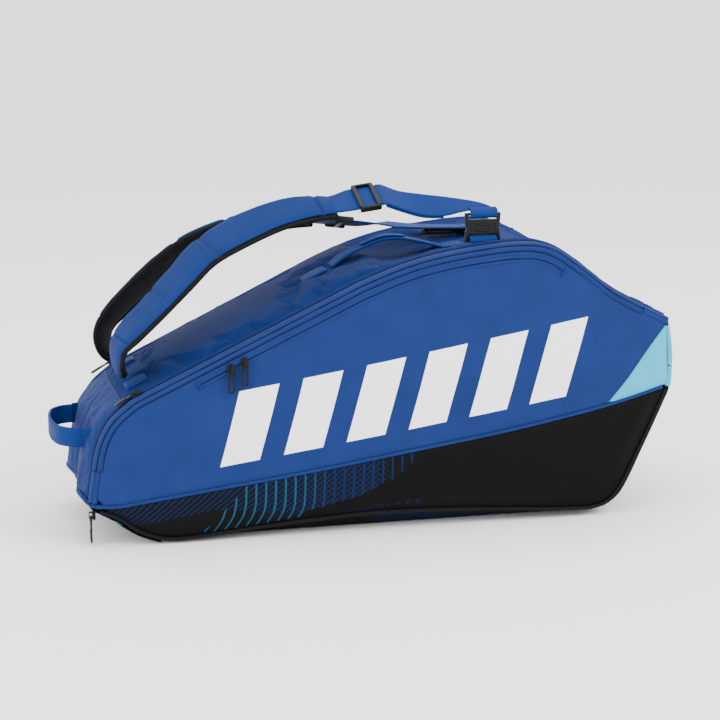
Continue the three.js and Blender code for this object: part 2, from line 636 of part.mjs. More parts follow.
// The rear strap ends in a swivel snap hook that lies on the top.
function addSnapHook() {
  const centre = [124, 50, 345.2];
  const frame = placement(centre, [1, 0, 0], [0, 1, 0]);
  const ring = framePlate(44, 22, 5, 10, [[0, 0, 34, 12]]);
  const stem = framePlate(9, 8, 5, 2, []).translate(25, 0, 0);
  const gateGap = new THREE.BoxGeometry(22, 8, 8).translate(2, 8.5, 0);
  const hook = toSolid(ring).add(toSolid(stem)).subtract(toSolid(gateGap));
  const swivel = bodyAt(bag, 'rear_snap_hook', [centre[0] + 29, centre[1], centre[2]]);
  piece(swivel, 'rear_snap_hook', fromSolid(hook).applyMatrix4(frame), PLASTIC);
  const gate = bodyAt(swivel, 'rear_hook_gate', [centre[0] + 11, centre[1] + 8.6, centre[2]]);
  const bolt = framePlate(21, 3.4, 4, 1.2, []).translate(2, 8.8, 0);
  piece(gate, 'rear_hook_gate', bolt.applyMatrix4(frame), GUNMETAL);
  const bar = framePlate(12, 42, 5, 3, [[0, 0, 5, 34]]).translate(36, -2.6, 0);
  piece(bag, 'rear_hook_bar', bar.applyMatrix4(frame), PLASTIC);
  piece(bag, 'rear_hook_tab', patch(topEdge, 97, 113, 40, 60, 1.4), WEB_BLUE);
}
addSnapHook();

// ---- top handle -------------------------------------------------------------
const HANDLE_HALF = 14;
const handlePath = [[-28, 318], [-14, 328], [8, 338], [36, 347.5], [64, 347], [90, 341.5],
  [111, 336]];
const handle = bodyAt(bag, 'top_handle', [-30, 0, 314]);
const handleRear = handlePath.map(([x, z]) => [x, HANDLE_HALF, z]);
const handleFront = handlePath.map(([x, z]) => [x, -HANDLE_HALF, z]);
piece(handle, 'top_handle', ribbon(handleFront, handleRear, 16, 0, SKIN), WEB_BLUE);
piece(bag, 'handle_left_patch', patch(topEdge, -60, -31, -15, 15, 2), WEB_BLUE);
piece(bag, 'handle_right_patch', patch(topEdge, 114, 140, -15, 15, 2), WEB_BLUE);

// ---- grab loop on the low end -----------------------------------------------
const LOOP_LOW = 114;
const LOOP_HIGH = 138;
const loopPath = [[-353, -66], [-368, -62], [-381, -47], [-387, -22], [-388, 0], [-387, 22],
  [-381, 47], [-368, 62], [-353, 66]];
const loop = bodyAt(bag, 'grab_loop', [-346, 0, (LOOP_LOW + LOOP_HIGH) / 2]);
const loopLow = loopPath.map(([x, y]) => [x, y, LOOP_LOW]);
const loopHigh = loopPath.map(([x, y]) => [x, y, LOOP_HIGH]);
piece(loop, 'grab_loop', ribbon(loopHigh, loopLow, 24, 0, SKIN), WEB_BLUE);

export default bag;
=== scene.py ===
"""A racket tournament bag: its fabric, straps, zips and hardware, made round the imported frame.

Shapes are worked out in millimetres, +Z up, and turned into metres as each mesh is made.
"""

import math

import bpy
import numpy as np
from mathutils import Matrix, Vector, noise


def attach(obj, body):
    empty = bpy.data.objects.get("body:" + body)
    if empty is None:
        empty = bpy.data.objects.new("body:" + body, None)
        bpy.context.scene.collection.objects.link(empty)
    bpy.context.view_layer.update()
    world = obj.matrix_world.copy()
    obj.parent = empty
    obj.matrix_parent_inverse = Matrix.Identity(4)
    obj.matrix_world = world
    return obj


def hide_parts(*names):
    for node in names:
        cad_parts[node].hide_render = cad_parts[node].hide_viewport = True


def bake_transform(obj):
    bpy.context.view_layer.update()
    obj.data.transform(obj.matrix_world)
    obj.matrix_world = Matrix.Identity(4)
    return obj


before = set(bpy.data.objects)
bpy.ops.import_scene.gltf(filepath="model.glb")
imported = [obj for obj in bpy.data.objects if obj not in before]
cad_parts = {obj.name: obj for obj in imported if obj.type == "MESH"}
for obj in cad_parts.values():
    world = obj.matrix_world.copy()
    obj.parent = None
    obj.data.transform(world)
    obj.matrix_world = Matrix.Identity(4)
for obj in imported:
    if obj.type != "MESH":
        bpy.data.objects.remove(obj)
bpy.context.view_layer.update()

MM = 0.001                # in metres
FABRIC = 1.8              # thickness of the sewn panels
CENTRE_X = 5.4            # the outlines' x = 0 lies this far from the frame's origin
SKIN = 3.0                # a panel's outer face lies this far outside its seam
GAP = 0.4                 # between neighbouring panels
ZIP_RISE = 7.0            # the zips stand this much above the wall seams
ZIP_HALF = 7.0
ZIP_INSET = 15.6          # the top fabric stops this far short of the walls
STITCH = 3.0              # pitch of the topstitching
FOLD_LOW = np.array([-337.0, 84.0])      # a flap folds about the line between these two
FOLD_HIGH = np.array([346.0, 258.0])
FOLD_BLEND = 14.0         # make_wall works out two points this far each side of the fold


# ---- curves -----------------------------------------------------------------
def catmull(points, per_span=24):
    """Points along a smooth curve through the given ones."""
    points = np.array(points, float)
    if len(points) == 2:
        return points[0] + np.linspace(0, 1, per_span)[:, None] * (points[1] - points[0])
    padded = np.vstack([points[:1], points, points[-1:]])
    t = np.linspace(0, 1, per_span, endpoint=False)[:, None]
    spans = []
    for i in range(len(points) - 1):
        a, b, c, d = padded[i:i + 4]
        spans.append(b + 0.5 * t * (c - a + t * (2 * a - 5 * b + 4 * c - d
                                                 + t * (3 * (b - c) + d - a))))
    return np.vstack(spans + [points[-1:]])


def reach_of(points):
    """How far along a run of points each of them lies."""
    return np.concatenate([[0], np.cumsum(np.linalg.norm(np.diff(points, axis=0), axis=1))])


def read_at(points, stations):
    """A run of points, read at lengths along it."""
    reach = reach_of(points)
    return np.stack([np.interp(stations, reach, column) for column in points.T], -1)


def spread(points, count):
    """The same run, as count points at even steps."""
    points = np.asarray(points, float)
    return read_at(points, np.linspace(0, reach_of(points)[-1], count))


def outline_of(points, count):
    """A closed outline through the given corners."""
    return spread([*points, points[0]], count)[:-1].tolist()


def resample(path, pitch):
    path = np.asarray(path, float)
    return read_at(path, np.arange(0, reach_of(path)[-1], pitch))


class Curve:
    """A smooth (x, z) curve through one or more runs of points, read by length from 0 to 1."""

    def __init__(self, *runs):
        self.points = np.vstack([catmull(run) for run in runs])
        self.reach = reach_of(self.points)
        self.length = self.reach[-1]

    def at(self, t):
        return read_at(self.points, np.clip(t, 0, 1) * self.length)

    def offset(self, t, distance):
        """A point of the curve, moved along its left-hand normal."""
        step = 2.0 / self.length
        run = self.at(np.minimum(t + step, 1)) - self.at(np.maximum(t - step, 0))
        along = run / np.linalg.norm(run, axis=-1, keepdims=True)
        normal = np.stack([-along[..., 1], along[..., 0]], -1)
        return self.at(t) + np.asarray(distance)[..., None] * normal

    def t_at(self, x):
        return float(np.interp(x, self.points[:, 0], self.reach) / self.length)


SLOPE_LOW = [-292, 169]
SLOPE_HIGH = [-20, 299]
TOP = Curve(
    [[-342, 54], [-338, 78], [-331, 118], [-317, 147], SLOPE_LOW],
    [SLOPE_LOW, SLOPE_HIGH],
    [SLOPE_HIGH, [24, 316], [62, 327], [112, 336], [174, 342], [214, 337], [250, 315],
     [289, 285], [325, 264], [372, 241]])
WAIST = Curve([[-345, 53], [-320, 51], [-280, 56], [-207, 66], [-95, 81], [31, 100], [160, 119],
               [265, 138], [320, 150], [377, 165]])
BASE = Curve([[-345, 46], [-318, 34], [-293, 16], [-262, 5], [-221, 5], [-130, 14], [-4, 22],
              [110, 19], [246, 10], [292, 12], [317, 32], [345, 88], [370, 143], [377, 159]])
TALL_END = Curve([[373, 239], [378, 205], [377, 165], [369, 143], [344, 88], [317, 33],
                  [293, 13]])
LOW_BASE = Curve([[-265, 5], [-293, 16], [-318, 34], [-345, 49]])
CORNER = Curve([[292, 144], [322, 178], [348, 213], [371, 242]])


def smooth(t):
    t = np.clip(t, 0, 1)
    return t * t * (3 - 2 * t)


def lerp(a, b, t):
    return a + (b - a) * t


def half_depth(x):
    return lerp(110, 120, smooth((x + 350) / 420))


def wall_bulge(x, z):
    reach = 178 - 0.25 * np.abs(x - 120)
    along = np.maximum(0, 1 - (x / 392) ** 4)
    across = np.maximum(0, 1 - np.abs((z - 120 - 0.17 * x) / reach) ** 3)
    return 9 * along * across


def wall_y(side, x, z, out=0.0):
    """How far from the middle a wall's outer face lies at (x, z)."""
    return side * (half_depth(x) + GAP + SKIN + wall_bulge(x, z) + out)


def on_wall(side, flat, out=0.0):
    """A path of (x, z) points, laid on a wall's outer face."""
    x, z = flat[:, 0], flat[:, 1]
    return np.stack([x, wall_y(side, x, z, out), z], -1)


def top_crown(x):
    low_end = lerp(16, 5, smooth((x + 338) / 50))
    hump = lerp(low_end, -16, smooth((x + 40) / 130))
    return lerp(hump, 2, smooth((x - 170) / 130))


def band_point(curve, t, y, crown, lift, inset=ZIP_INSET):
    """A point on the band of fabric round the bag, crowned across its width."""
    t, y = np.broadcast_arrays(t, y)
    x = curve.at(t)[..., 0]
    arch = 1 - (y / (half_depth(x) - inset)) ** 2
    rise = valley = 0
    if curve is TOP:
        rise = ZIP_RISE
        valley = 17 * (1 - smooth((x + 338) / 40)) * np.clip(arch, 0, 1) ** 4
    point = curve.offset(t, SKIN + rise + lift + crown * arch - valley)
    return np.stack([point[..., 0], y, point[..., 1]], -1)


def ripple(points, scale, seed):
    """Smooth noise from about -1 to 1 at each point."""
    flat = points.reshape(-1, 3) / scale
    shift = Vector((seed * 7.31, seed * 3.17, seed * 5.73))
    values = [noise.noise(Vector(p) + shift) for p in flat]
    return np.array(values).reshape(points.shape[:-1])


# ---- meshes -----------------------------------------------------------------
def normals_of(grid):
    along = np.gradient(grid, axis=0)
    across = np.gradient(grid, axis=1)
    normal = np.cross(along, across)
    return normal / np.maximum(np.linalg.norm(normal, axis=-1, keepdims=True), 1e-9)


def grid_faces(rows, columns, start=0, flip=False):
    i, j = np.meshgrid(np.arange(rows - 1), np.arange(columns - 1), indexing="ij")
    a = (start + i * columns + j).ravel()
    faces = np.stack([a, a + columns, a + columns + 1, a + 1], -1)
    return faces[:, ::-1] if flip else faces


def add_mesh(name, points, faces, material, uv=None, body="bag", replaces=(), slot=None):
    """A mesh object from points in millimetres; uv is in metres, one pair for each point."""
    mesh = bpy.data.meshes.new(name)
    metres = (np.asarray(points, float) + (CENTRE_X, 0, 0)) * MM
    mesh.from_pydata(metres.tolist(), [], [list(map(int, face)) for face in faces])
    if uv is not None:
        corner = np.zeros(len(mesh.loops), int)
        mesh.loops.foreach_get("vertex_index", corner)
        layer = mesh.uv_layers.new(name="UVMap")
        layer.data.foreach_set("uv", np.asarray(uv, float)[corner].ravel())
    mesh.polygons.foreach_set("use_smooth", [True] * len(mesh.polygons))
    mesh.materials.append(material)
    mesh.validate()
    piece = bpy.data.objects.new(name, mesh)
    bpy.context.scene.collection.objects.link(piece)
    if body:
        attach(piece, body)
    if replaces:
        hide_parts(*replaces)
    slot = slot or SLOTS.get(material.name)
    return piece


def arc_uv(grid):
    """Lengths along and across a grid, in metres."""
    along = np.linalg.norm(np.diff(grid, axis=0), axis=-1).mean(1)
    across = np.linalg.norm(np.diff(grid, axis=1), axis=-1).mean(0)
    u = np.concatenate([[0], np.cumsum(along)])
    v = np.concatenate([[0], np.cumsum(across)])
    return MM * np.stack(np.meshgrid(u, v - v.mean(), indexing="ij"), -1)


def skin_faces(rows, columns, flip=False):
    """The faces of a closed skin: a grid of outer points, one of inner points, and the rim."""
    count = rows * columns
    loop = np.concatenate([
        np.arange(columns),
        np.arange(1, rows) * columns + columns - 1,
        (rows - 1) * columns + np.arange(columns - 2, -1, -1),
        np.arange(rows - 2, 0, -1) * columns])
    ahead = np.roll(loop, -1)
    rim = np.stack([loop, ahead, ahead + count, loop + count], -1)
    return np.vstack([grid_faces(rows, columns, 0, flip),
                      grid_faces(rows, columns, count, not flip), rim[:, ::-1] if flip else rim])


def add_skin(name, grid, thickness, material, uv=None, outward=1, **kw):
    """Closed fabric: the grid is its outer face; outward is the side its normals are on."""
    inner = grid - outward * thickness * normals_of(grid)
    points = np.vstack([grid.reshape(-1, 3), inner.reshape(-1, 3)])
    flat_uv = (arc_uv(grid) if uv is None else uv).reshape(-1, 2)
    return add_mesh(name, points, skin_faces(*grid.shape[:2], outward < 0), material,
                    uv=np.vstack([flat_uv, flat_uv]), **kw)


def wrinkled(grid, slack, cap, seed, edge=2, stiffness=0.4, sewn=(), puff=1.0):
    """The grid after a short cloth simulation: the fabric is cut larger than its frame by slack.

    sewn holds (x0, x1, y0, y1) boxes where a patch is sewn down; puff is the share of the
    outward swelling that is kept.
    """
    rows, columns = grid.shape[:2]
    nudge = ripple(grid, 24, seed)[..., None] * normals_of(grid) * 0.6
    pin = np.ones((rows, columns), bool)
    pin[edge:-edge, edge:-edge] = False
    for x0, x1, y0, y1 in sewn:
        pin |= ((grid[..., 0] > x0 - 4) & (grid[..., 0] < x1 + 4)
                & (grid[..., 1] > y0 - 4) & (grid[..., 1] < y1 + 4))
    start = grid + nudge * ~pin[..., None]
    cloth = add_mesh("settling", start.reshape(-1, 3), grid_faces(rows, columns),
                     THREAD, body=None)
    group = cloth.vertex_groups.new(name="pinned")
    group.add(np.flatnonzero(pin.ravel()).tolist(), 1.0, "REPLACE")
    settings = cloth.modifiers.new("cloth", "CLOTH").settings
    settings.vertex_group_mass = "pinned"
    settings.quality = 6
    settings.mass = 0.2
    settings.bending_stiffness = stiffness
    settings.shrink_min = -slack
    settings.effector_weights.gravity = 0
    for step in range(1, 19):
        bpy.context.scene.frame_set(step)
    shaped = cloth.evaluated_get(bpy.context.evaluated_depsgraph_get()).data
    moved = np.zeros(rows * columns * 3)
    shaped.vertices.foreach_get("co", moved)
    bpy.data.objects.remove(cloth)
    bpy.context.scene.frame_set(1)
    moved = moved.reshape(rows, columns, 3) / MM - (CENTRE_X, 0, 0)
    travel = moved - grid
    inward = normals_of(grid)
    swell = np.minimum((travel * inward).sum(-1, keepdims=True), 0)
    travel -= (1 - puff) * swell * inward
    length = np.linalg.norm(travel, axis=-1, keepdims=True)
    return grid + travel * np.minimum(1, cap / np.maximum(length, 1e-6))


def frames_along(path, up=(0, 0, 1)):
    """Tangent, side and up directions at each point of a path."""
    tangent = np.gradient(path, axis=0)
    tangent /= np.linalg.norm(tangent, axis=1, keepdims=True)
    side = np.cross(np.broadcast_to(up, path.shape), tangent)
    side /= np.maximum(np.linalg.norm(side, axis=1, keepdims=True), 1e-9)
    return tangent, side, np.cross(tangent, side)


def add_tube(name, path, radius, material, sides=10, squash=1.0, **kw):
    """A round cord along a path, with domed ends."""
    path = np.asarray(path, float)
    tangent, side, up = frames_along(path)
    angle = np.linspace(0, 2 * np.pi, sides, endpoint=False)
    ring = np.cos(angle)[:, None], np.sin(angle)[:, None]
    rings = [p + radius * (ring[0] * s * squash + ring[1] * u)
             for p, s, u in zip(path, side, up)]
    tips = [path[0] - tangent[0] * radius * 0.6, path[-1] + tangent[-1] * radius * 0.6]
    here = np.arange(sides)
    ahead = np.roll(here, -1)
    hoop = np.stack([here, ahead, ahead + sides, here + sides], -1)
    faces = [face + i * sides for i in range(len(path) - 1) for face in hoop]
    count = len(path) * sides
    last = count - sides
    for j, k in zip(here, ahead):
        faces += [(k, j, count), (last + j, last + k, count + 1)]
    reach = reach_of(path)
    uv = np.stack([np.repeat(reach, sides), np.tile(angle * radius, len(path))], -1)
    uv = MM * np.vstack([uv, [[0, 0], [reach[-1], 0]]])
    return add_mesh(name, np.vstack(rings + [tips]), faces, material, uv=uv, **kw)


# A stitch is four rings of five points: (share of its length, share of its radius) for each.
STITCH_RINGS = ((0, 0.25), (0.2, 1), (0.8, 1), (1, 0.25))
STITCH_FACES = [(low + j, low + (j + 1) % 5, low + 5 + (j + 1) % 5, low + 5 + j)
                for low in (0, 5, 10) for j in range(5)]
STITCH_FACES += [(4, 3, 2, 1, 0), (15, 16, 17, 18, 19)]


def add_stitches(name, runs, material, body="bag", pitch=STITCH, radius=0.42, fill=0.7):
    """Rows of short raised stitches; each run is a path on the fabric's face."""
    points, faces = [], []
    ring = np.linspace(0, 2 * np.pi, 5, endpoint=False)
    for run in runs:
        spots = resample(run, pitch)
        for a, b in zip(spots[:-1], spots[1:]):
            along = (b - a) / max(np.linalg.norm(b - a), 1e-9)
            side = np.cross(along, (0.3, 0.5, 0.81))
            side /= np.linalg.norm(side)
            up = np.cross(along, side)
            faces += [[len(points) + corner for corner in face] for face in STITCH_FACES]
            for reach, width in STITCH_RINGS:
                centre = a + (b - a) * (0.5 + (reach - 0.5) * fill)
                points += [centre + radius * width * (math.cos(w) * side + math.sin(w) * up)
                           for w in ring]
    return add_mesh(name, np.array(points), faces, material, body=body)


# ---- materials --------------------------------------------------------------
def srgb(red, green, blue):
    return tuple(((c / 255 + 0.055) / 1.055) ** 2.4 for c in (red, green, blue)) + (1.0,)


class Value:
    """A shader socket; sums, products and comparisons of it become math nodes."""

    def __init__(self, shader, socket):
        self.shader = shader
        self.socket = socket

    def apply(self, operation, other=0.0):
        made = self.shader.node("ShaderNodeMath", {0: self, 1: other}, operation=operation)
        return Value(self.shader, made.outputs[0])

    def __add__(self, other):
        return self.apply("ADD", other)

    def __sub__(self, other):
        return self.apply("SUBTRACT", other)

    def __mul__(self, other):
        return self.apply("MULTIPLY", other)

    def __gt__(self, other):
        return self.apply("GREATER_THAN", other)

    def __lt__(self, other):
        return self.apply("LESS_THAN", other)

    def within(self, low, high):
        return (self > low) * (self < high)


class Shader:
    """A Principled material whose colour and bump are wired from a few kinds of node."""

    def __init__(self, name, roughness=0.7, metallic=0.0, sheen=0.0, specular=0.4):
        self.material = bpy.data.materials.new(name)
        self.material.use_nodes = True
        self.tree = self.material.node_tree
        self.surface = self.tree.nodes["Principled BSDF"]
        for socket, value in (("Roughness", roughness), ("Metallic", metallic),
                              ("Sheen Weight", sheen), ("Specular IOR Level", specular),
                              ("Sheen Roughness", 0.4)):
            self.surface.inputs[socket].default_value = value
        self.height = None

    def wire(self, value, socket):
        value = value.socket if isinstance(value, Value) else value
        if isinstance(value, bpy.types.NodeSocket):
            self.tree.links.new(value, socket)
        else:
            socket.default_value = value

    def node(self, kind, inputs=(), **settings):
        made = self.tree.nodes.new(kind)
        for key, value in settings.items():
            setattr(made, key, value)
        for key, value in dict(inputs).items():
            self.wire(value, made.inputs[key])
        return made

    def where(self, output="UV"):
        return self.node("ShaderNodeTexCoord").outputs[output]

    def axes(self):
        """The two lengths, in metres, that the UV map holds."""
        outputs = self.node("ShaderNodeSeparateXYZ", {0: self.where()}).outputs
        return Value(self, outputs[0]), Value(self, outputs[1])

    def noise(self, scale, detail=3.0, output="UV"):
        inputs = {"Scale": scale, "Detail": detail, "Roughness": 0.55,
                  "Vector": self.where(output)}
        return Value(self, self.node("ShaderNodeTexNoise", inputs).outputs["Fac"])

    def mix(self, factor, a, b):
        return self.node("ShaderNodeMix", {0: factor, 6: a, 7: b}, data_type="RGBA").outputs[2]

    def step(self, value, low, high):
        """0 below low, 1 above high, smooth between."""
        return self.node("ShaderNodeMapRange", {0: value, 1: low, 2: high},
                         interpolation_type="SMOOTHSTEP").outputs[0]

    def map(self, value, to_low, to_high, low=0.0, high=1.0):
        inputs = {0: value, 1: low, 2: high, 3: to_low, 4: to_high}
        return self.node("ShaderNodeMapRange", inputs).outputs[0]

    def ribs(self, pitch, axis=0):
        return (self.axes()[axis] * (2 * math.pi / pitch)).apply("SINE")

    def weave(self, pitch):
        """Over-and-under threads, pitch in metres."""
        return self.ribs(pitch, 0) * self.ribs(pitch, 1)

    def raise_by(self, value, amount):
        """Adds a height, in metres, to the bump."""
        scaled = value * amount
        self.height = scaled if self.height is None else self.height + scaled

    def done(self, colour, roughness=None):
        self.wire(colour, self.surface.inputs["Base Color"])
        if roughness is not None:
            self.wire(roughness, self.surface.inputs["Roughness"])
        bump = self.node("ShaderNodeBump", {"Height": self.height, "Distance": 1.0,
                                            "Strength": 1.0})
        self.wire(bump.outputs[0], self.surface.inputs["Normal"])
        return self.material


def cloth_shade(shader, light, dark, pitch):
    """Woven cloth: its colour, with the threads and the grain that shape its bump."""
    threads = shader.weave(pitch)
    fine = shader.noise(900.0, 2.0)
    shade = threads * 0.12 + (shader.noise(22.0, 4.0) + fine) * 0.42
    return shader.mix(shader.step(shade, 0.15, 0.75), dark, light), threads, fine


def woven(name, light, dark, pitch=0.0009, roughness=0.72, sheen=0.03, relief=0.00006,
          specular=0.12):
    shader = Shader(name, roughness, sheen=sheen, specular=specular)
    colour, threads, fine = cloth_shade(shader, srgb(*light), srgb(*dark), pitch)
    shader.raise_by(threads, relief)
    shader.raise_by(fine, relief * 1.6)
    return shader.done(colour, shader.map(fine, roughness - 0.1, roughness + 0.12))


def webbing_material(name, light, dark):
    shader = Shader(name, 0.62, specular=0.12)
    ribs = shader.ribs(0.0016)
    across = shader.ribs(0.0021, 1)
    shade = ribs * 0.2 + (shader.noise(1200.0, 2.0) + across) * 0.2
    shader.raise_by(ribs, 0.00012)
    shader.raise_by(across, 0.00003)
    return shader.done(shader.mix(shader.step(shade, -0.1, 0.5), srgb(*dark), srgb(*light)))


def spacer_mesh_material():
    shader = Shader("spacer mesh", 0.85, specular=0.1)
    cells = shader.node("ShaderNodeTexVoronoi", {"Vector": shader.where(), "Scale": 300.0})
    hollow = shader.step(cells.outputs["Distance"], 0.15, 0.55)
    shader.raise_by(Value(shader, hollow), 0.0005)
    return shader.done(shader.mix(hollow, srgb(4, 4, 5), srgb(28, 27, 30)))


def moulded(name, light, dark, roughness, metallic=0.0, grain=1500.0, specular=0.3):
    shader = Shader(name, roughness, metallic, specular=specular)
    fine = shader.noise(grain, 3.0, "Object")
    broad = shader.noise(60.0, 3.0, "Object")
    shader.raise_by(fine, 0.00003)
    return shader.done(shader.mix(broad, srgb(*dark), srgb(*light)),
                       shader.map(fine, roughness - 0.08, roughness + 0.14))


def bars(x, y, pitch, width, slant):
    """1 inside a row of slanted strokes, in metres; width is a share of the pitch."""
    phase = (x + y * slant).apply("DIVIDE", pitch).apply("FRACT")
    return phase < width


MAIN_BLUE = (24, 46, 104), (16, 35, 85)
BASE_BLACK = (12, 11, 13), (5, 5, 6)
WHITE_PRINT = srgb(250, 250, 252)
TEAL_PRINT = srgb(20, 66, 88)
BLUE_PRINT = srgb(6, 26, 64)


def wall_material():
    """Blue weave with a plain row of slanted white bars that grow towards the tall end."""
    shader = Shader("printed wall", 0.7, sheen=0.02, specular=0.12)
    x, z = shader.axes()
    light, dark = MAIN_BLUE
    weave, threads, fine = cloth_shade(shader, srgb(*light), srgb(*dark), 0.0009)
    lean = x - z * 0.28
    band = bars(lean, z, 0.074, 0.62, 0.0) * lean.within(-0.222, 0.196)
    band = band * (z > x * 0.150 + 0.1235) * (z < x * 0.168 + 0.2135)
    shader.raise_by(threads, 0.00005)
    shader.raise_by(fine, 0.00009)
    shader.raise_by(band, 0.00012)
    return shader.done(shader.mix(band, weave, WHITE_PRINT))


def start_print(name):
    """Black base fabric to print on: its shader, its two axes, its grain and its colour."""
    shader = Shader(name, 0.66, specular=0.08)
    light, dark = BASE_BLACK
    fine = shader.noise(900.0, 2.0)
    shader.raise_by(shader.weave(0.0007), 0.00005)
    return shader, *shader.axes(), fine, shader.mix(shader.step(fine, 0.3, 0.7), srgb(*dark),
                                                    srgb(*light))


def hatch_material():
    """Black fabric printed with thin strokes: slanted ones under the waist, uprights beyond."""
    shader, x, z, fine, base = start_print("printed base fabric")
    below = x * 0.165 + 0.097 - z
    rising = bars(x, z, 0.0080, 0.36, -1.25) * x.within(-0.33, 0.0)
    rising = rising * (below < shader.map(x, 0.022, 0.060, -0.20, -0.06))
    falling = bars(x, z, 0.0074, 0.17, 1.0) * x.within(-0.150, 0.012) * (z > 0.026)
    foot = (z * -1.0 + 0.050).apply("MAXIMUM", 0.0)
    uprights = bars(x + foot * foot * 9.0, z, 0.0120, 0.19, -0.04) * x.within(-0.215, 0.060)
    uprights = uprights * (z < (x + 0.208) * 1.05 + 0.022)
    uprights = uprights * (z > shader.map(x, 0.012, 0.034, -0.21, -0.02))
    tall_colour = shader.mix(shader.step(x, -0.105, -0.055), TEAL_PRINT, BLUE_PRINT)
    colour = shader.mix(rising.apply("MAXIMUM", falling) * 0.8, base, BLUE_PRINT)
    shader.raise_by(fine, 0.00008)
    return shader.done(shader.mix(uprights, colour, tall_colour))


def base_print_material():
    """Black fabric with a strip of thin blue strokes along each side edge."""
    shader, x, y, _, base = start_print("base print")
    mask = bars(x, y, 0.0085, 0.34, 1.2) * x.within(0.0, 0.252) * (y.apply("ABSOLUTE") > 0.088)
    return shader.done(shader.mix(mask, base, BLUE_PRINT))


BLUE = woven("main fabric", *MAIN_BLUE)
BLUE_TOP = woven("top fabric", (15, 41, 100), (8, 27, 72), sheen=0.0, relief=0.00009,
                 specular=0.1)
BLUE_STRAP = woven("strap fabric", (16, 45, 104), (10, 34, 84), pitch=0.0008, sheen=0.0)
TEAL = woven("corner fabric", (52, 176, 204), (38, 156, 190), sheen=0.0)
BLACK = woven("base fabric", *BASE_BLACK, pitch=0.0007, roughness=0.6, sheen=0.0)
LINING = woven("lining", (54, 56, 62), (38, 40, 46), pitch=0.0006)
THREAD = woven("blue thread", (22, 52, 116), (14, 38, 92), pitch=0.0004)
THREAD_BLACK = woven("black thread", (52, 50, 54), (30, 29, 32), pitch=0.0004)
THREAD_LIGHT = woven("light blue thread", (34, 70, 136), (24, 56, 116), pitch=0.0004)
TAPE = woven("zip tape", (12, 22, 58), (8, 14, 40), pitch=0.0007)
# Painted shadow: a near-black material for the cords laid in the flap edge's groove and along the
# roll's foot, where shade falls.
SEAM_SHADOW = woven("seam shadow", (4, 8, 28), (2, 4, 16), pitch=0.0006)
COIL = woven("zip coil", (24, 10, 24), (8, 4, 10), pitch=0.0012, roughness=0.45, sheen=0.0,
             relief=0.0001)
WEBBING = webbing_material("blue webbing", (5, 50, 118), (3, 33, 88))
MESH = spacer_mesh_material()
PLASTIC = moulded("black plastic", (8, 7, 8), (4, 4, 5), 0.36, specular=0.2)
METAL = moulded("dark plated metal", (24, 21, 21), (12, 10, 11), 0.36, 0.5, 3000)
BOARD = moulded("base board", (40, 40, 42), (30, 30, 32), 0.7, grain=400)
WALL = wall_material()
HATCH = hatch_material()
GUARD = moulded("coated guard fabric", (8, 7, 8), (4, 4, 5), 0.66, grain=900, specular=0.08)
BASE_PRINT = base_print_material()

# Each material's slot, keyed by the material's name; add_mesh looks a piece's slot up here unless
# its call names another.
SLOTS = {material.name: slot for slot, materials in (
    ("blue_fabric", (BLUE, BLUE_TOP, BLUE_STRAP, SEAM_SHADOW, WALL)),
    ("black_fabric", (BLACK, HATCH, GUARD, BASE_PRINT)),
    ("teal_fabric", (TEAL,)),
    ("blue_webbing", (WEBBING,)),
    ("black_mesh", (MESH,)),
    ("zip_tape", (TAPE, COIL)),
    ("lining", (LINING,)),
    ("black_plastic", (PLASTIC,)),
    ("gunmetal", (METAL,))) for material in materials}


# ---- walls ------------------------------------------------------------------
LABELS = {-1: "front", 1: "rear"}
ZIP_START = TOP.t_at(FOLD_LOW[0])
ZIP_END = TOP.t_at(FOLD_HIGH[0])
CORNER_START = WAIST.t_at(292)
GUARD_SEAM = Curve([[-104, 16], [-96, 33], [-65, 42], [-12, 62], [14, 74], [38, 95], [52, 101]])


def seam_dip(distance, depth=1.8, width=3.2):
    """Fabric is pulled in towards its seam."""
    return depth * np.exp(-(distance / width) ** 2)


def rail(curve, start, end, offset, count=80):
    return curve.offset(np.linspace(start, end, count), np.full(count, offset))


def between(low, high, steps, margin=0.0):
    """A grid of points from one rail to another."""
    v = np.linspace(margin, 1 - margin, steps)[None, :, None]
    return low[:, None] * (1 - v) + high[:, None] * v


def wall_grid(side, low, high, steps, out=0.0, base_turn=0.0, seed=1.0, soft=0.7):
    """A wall surface between two rails of (x, z) points, with its seams pulled in."""
    plane = between(low, high, steps)
    x, z = plane[..., 0], plane[..., 1]
    v = np.linspace(0, 1, steps)[None]
    span = np.linalg.norm(high - low, axis=1)[:, None]
    bottom, top = v * span, (1 - v) * span
    y = wall_y(1, x, z, out) - seam_dip(bottom) - seam_dip(top)
    if base_turn:
        y = y - (wall_bulge(x, z) + 1.5) * (1 - smooth((bottom + 2) / base_turn))
    grid = np.stack([x, side * y, z], -1)
    sway = ripple(grid * (1, 0.2, 0.45), 26, seed) * soft + ripple(grid, 90, seed + 3) * 1.2 * soft
    grid[..., 1] += side * sway * smooth(bottom / 14) * smooth(top / 14)
    return grid


def add_wall(name, side, grid, thickness, material, **kw):
    """Part of a wall; its print is laid out by x and z."""
    return add_skin(name, grid, thickness, material, uv=grid[..., [0, 2]] * MM,
                    outward=side, **kw)


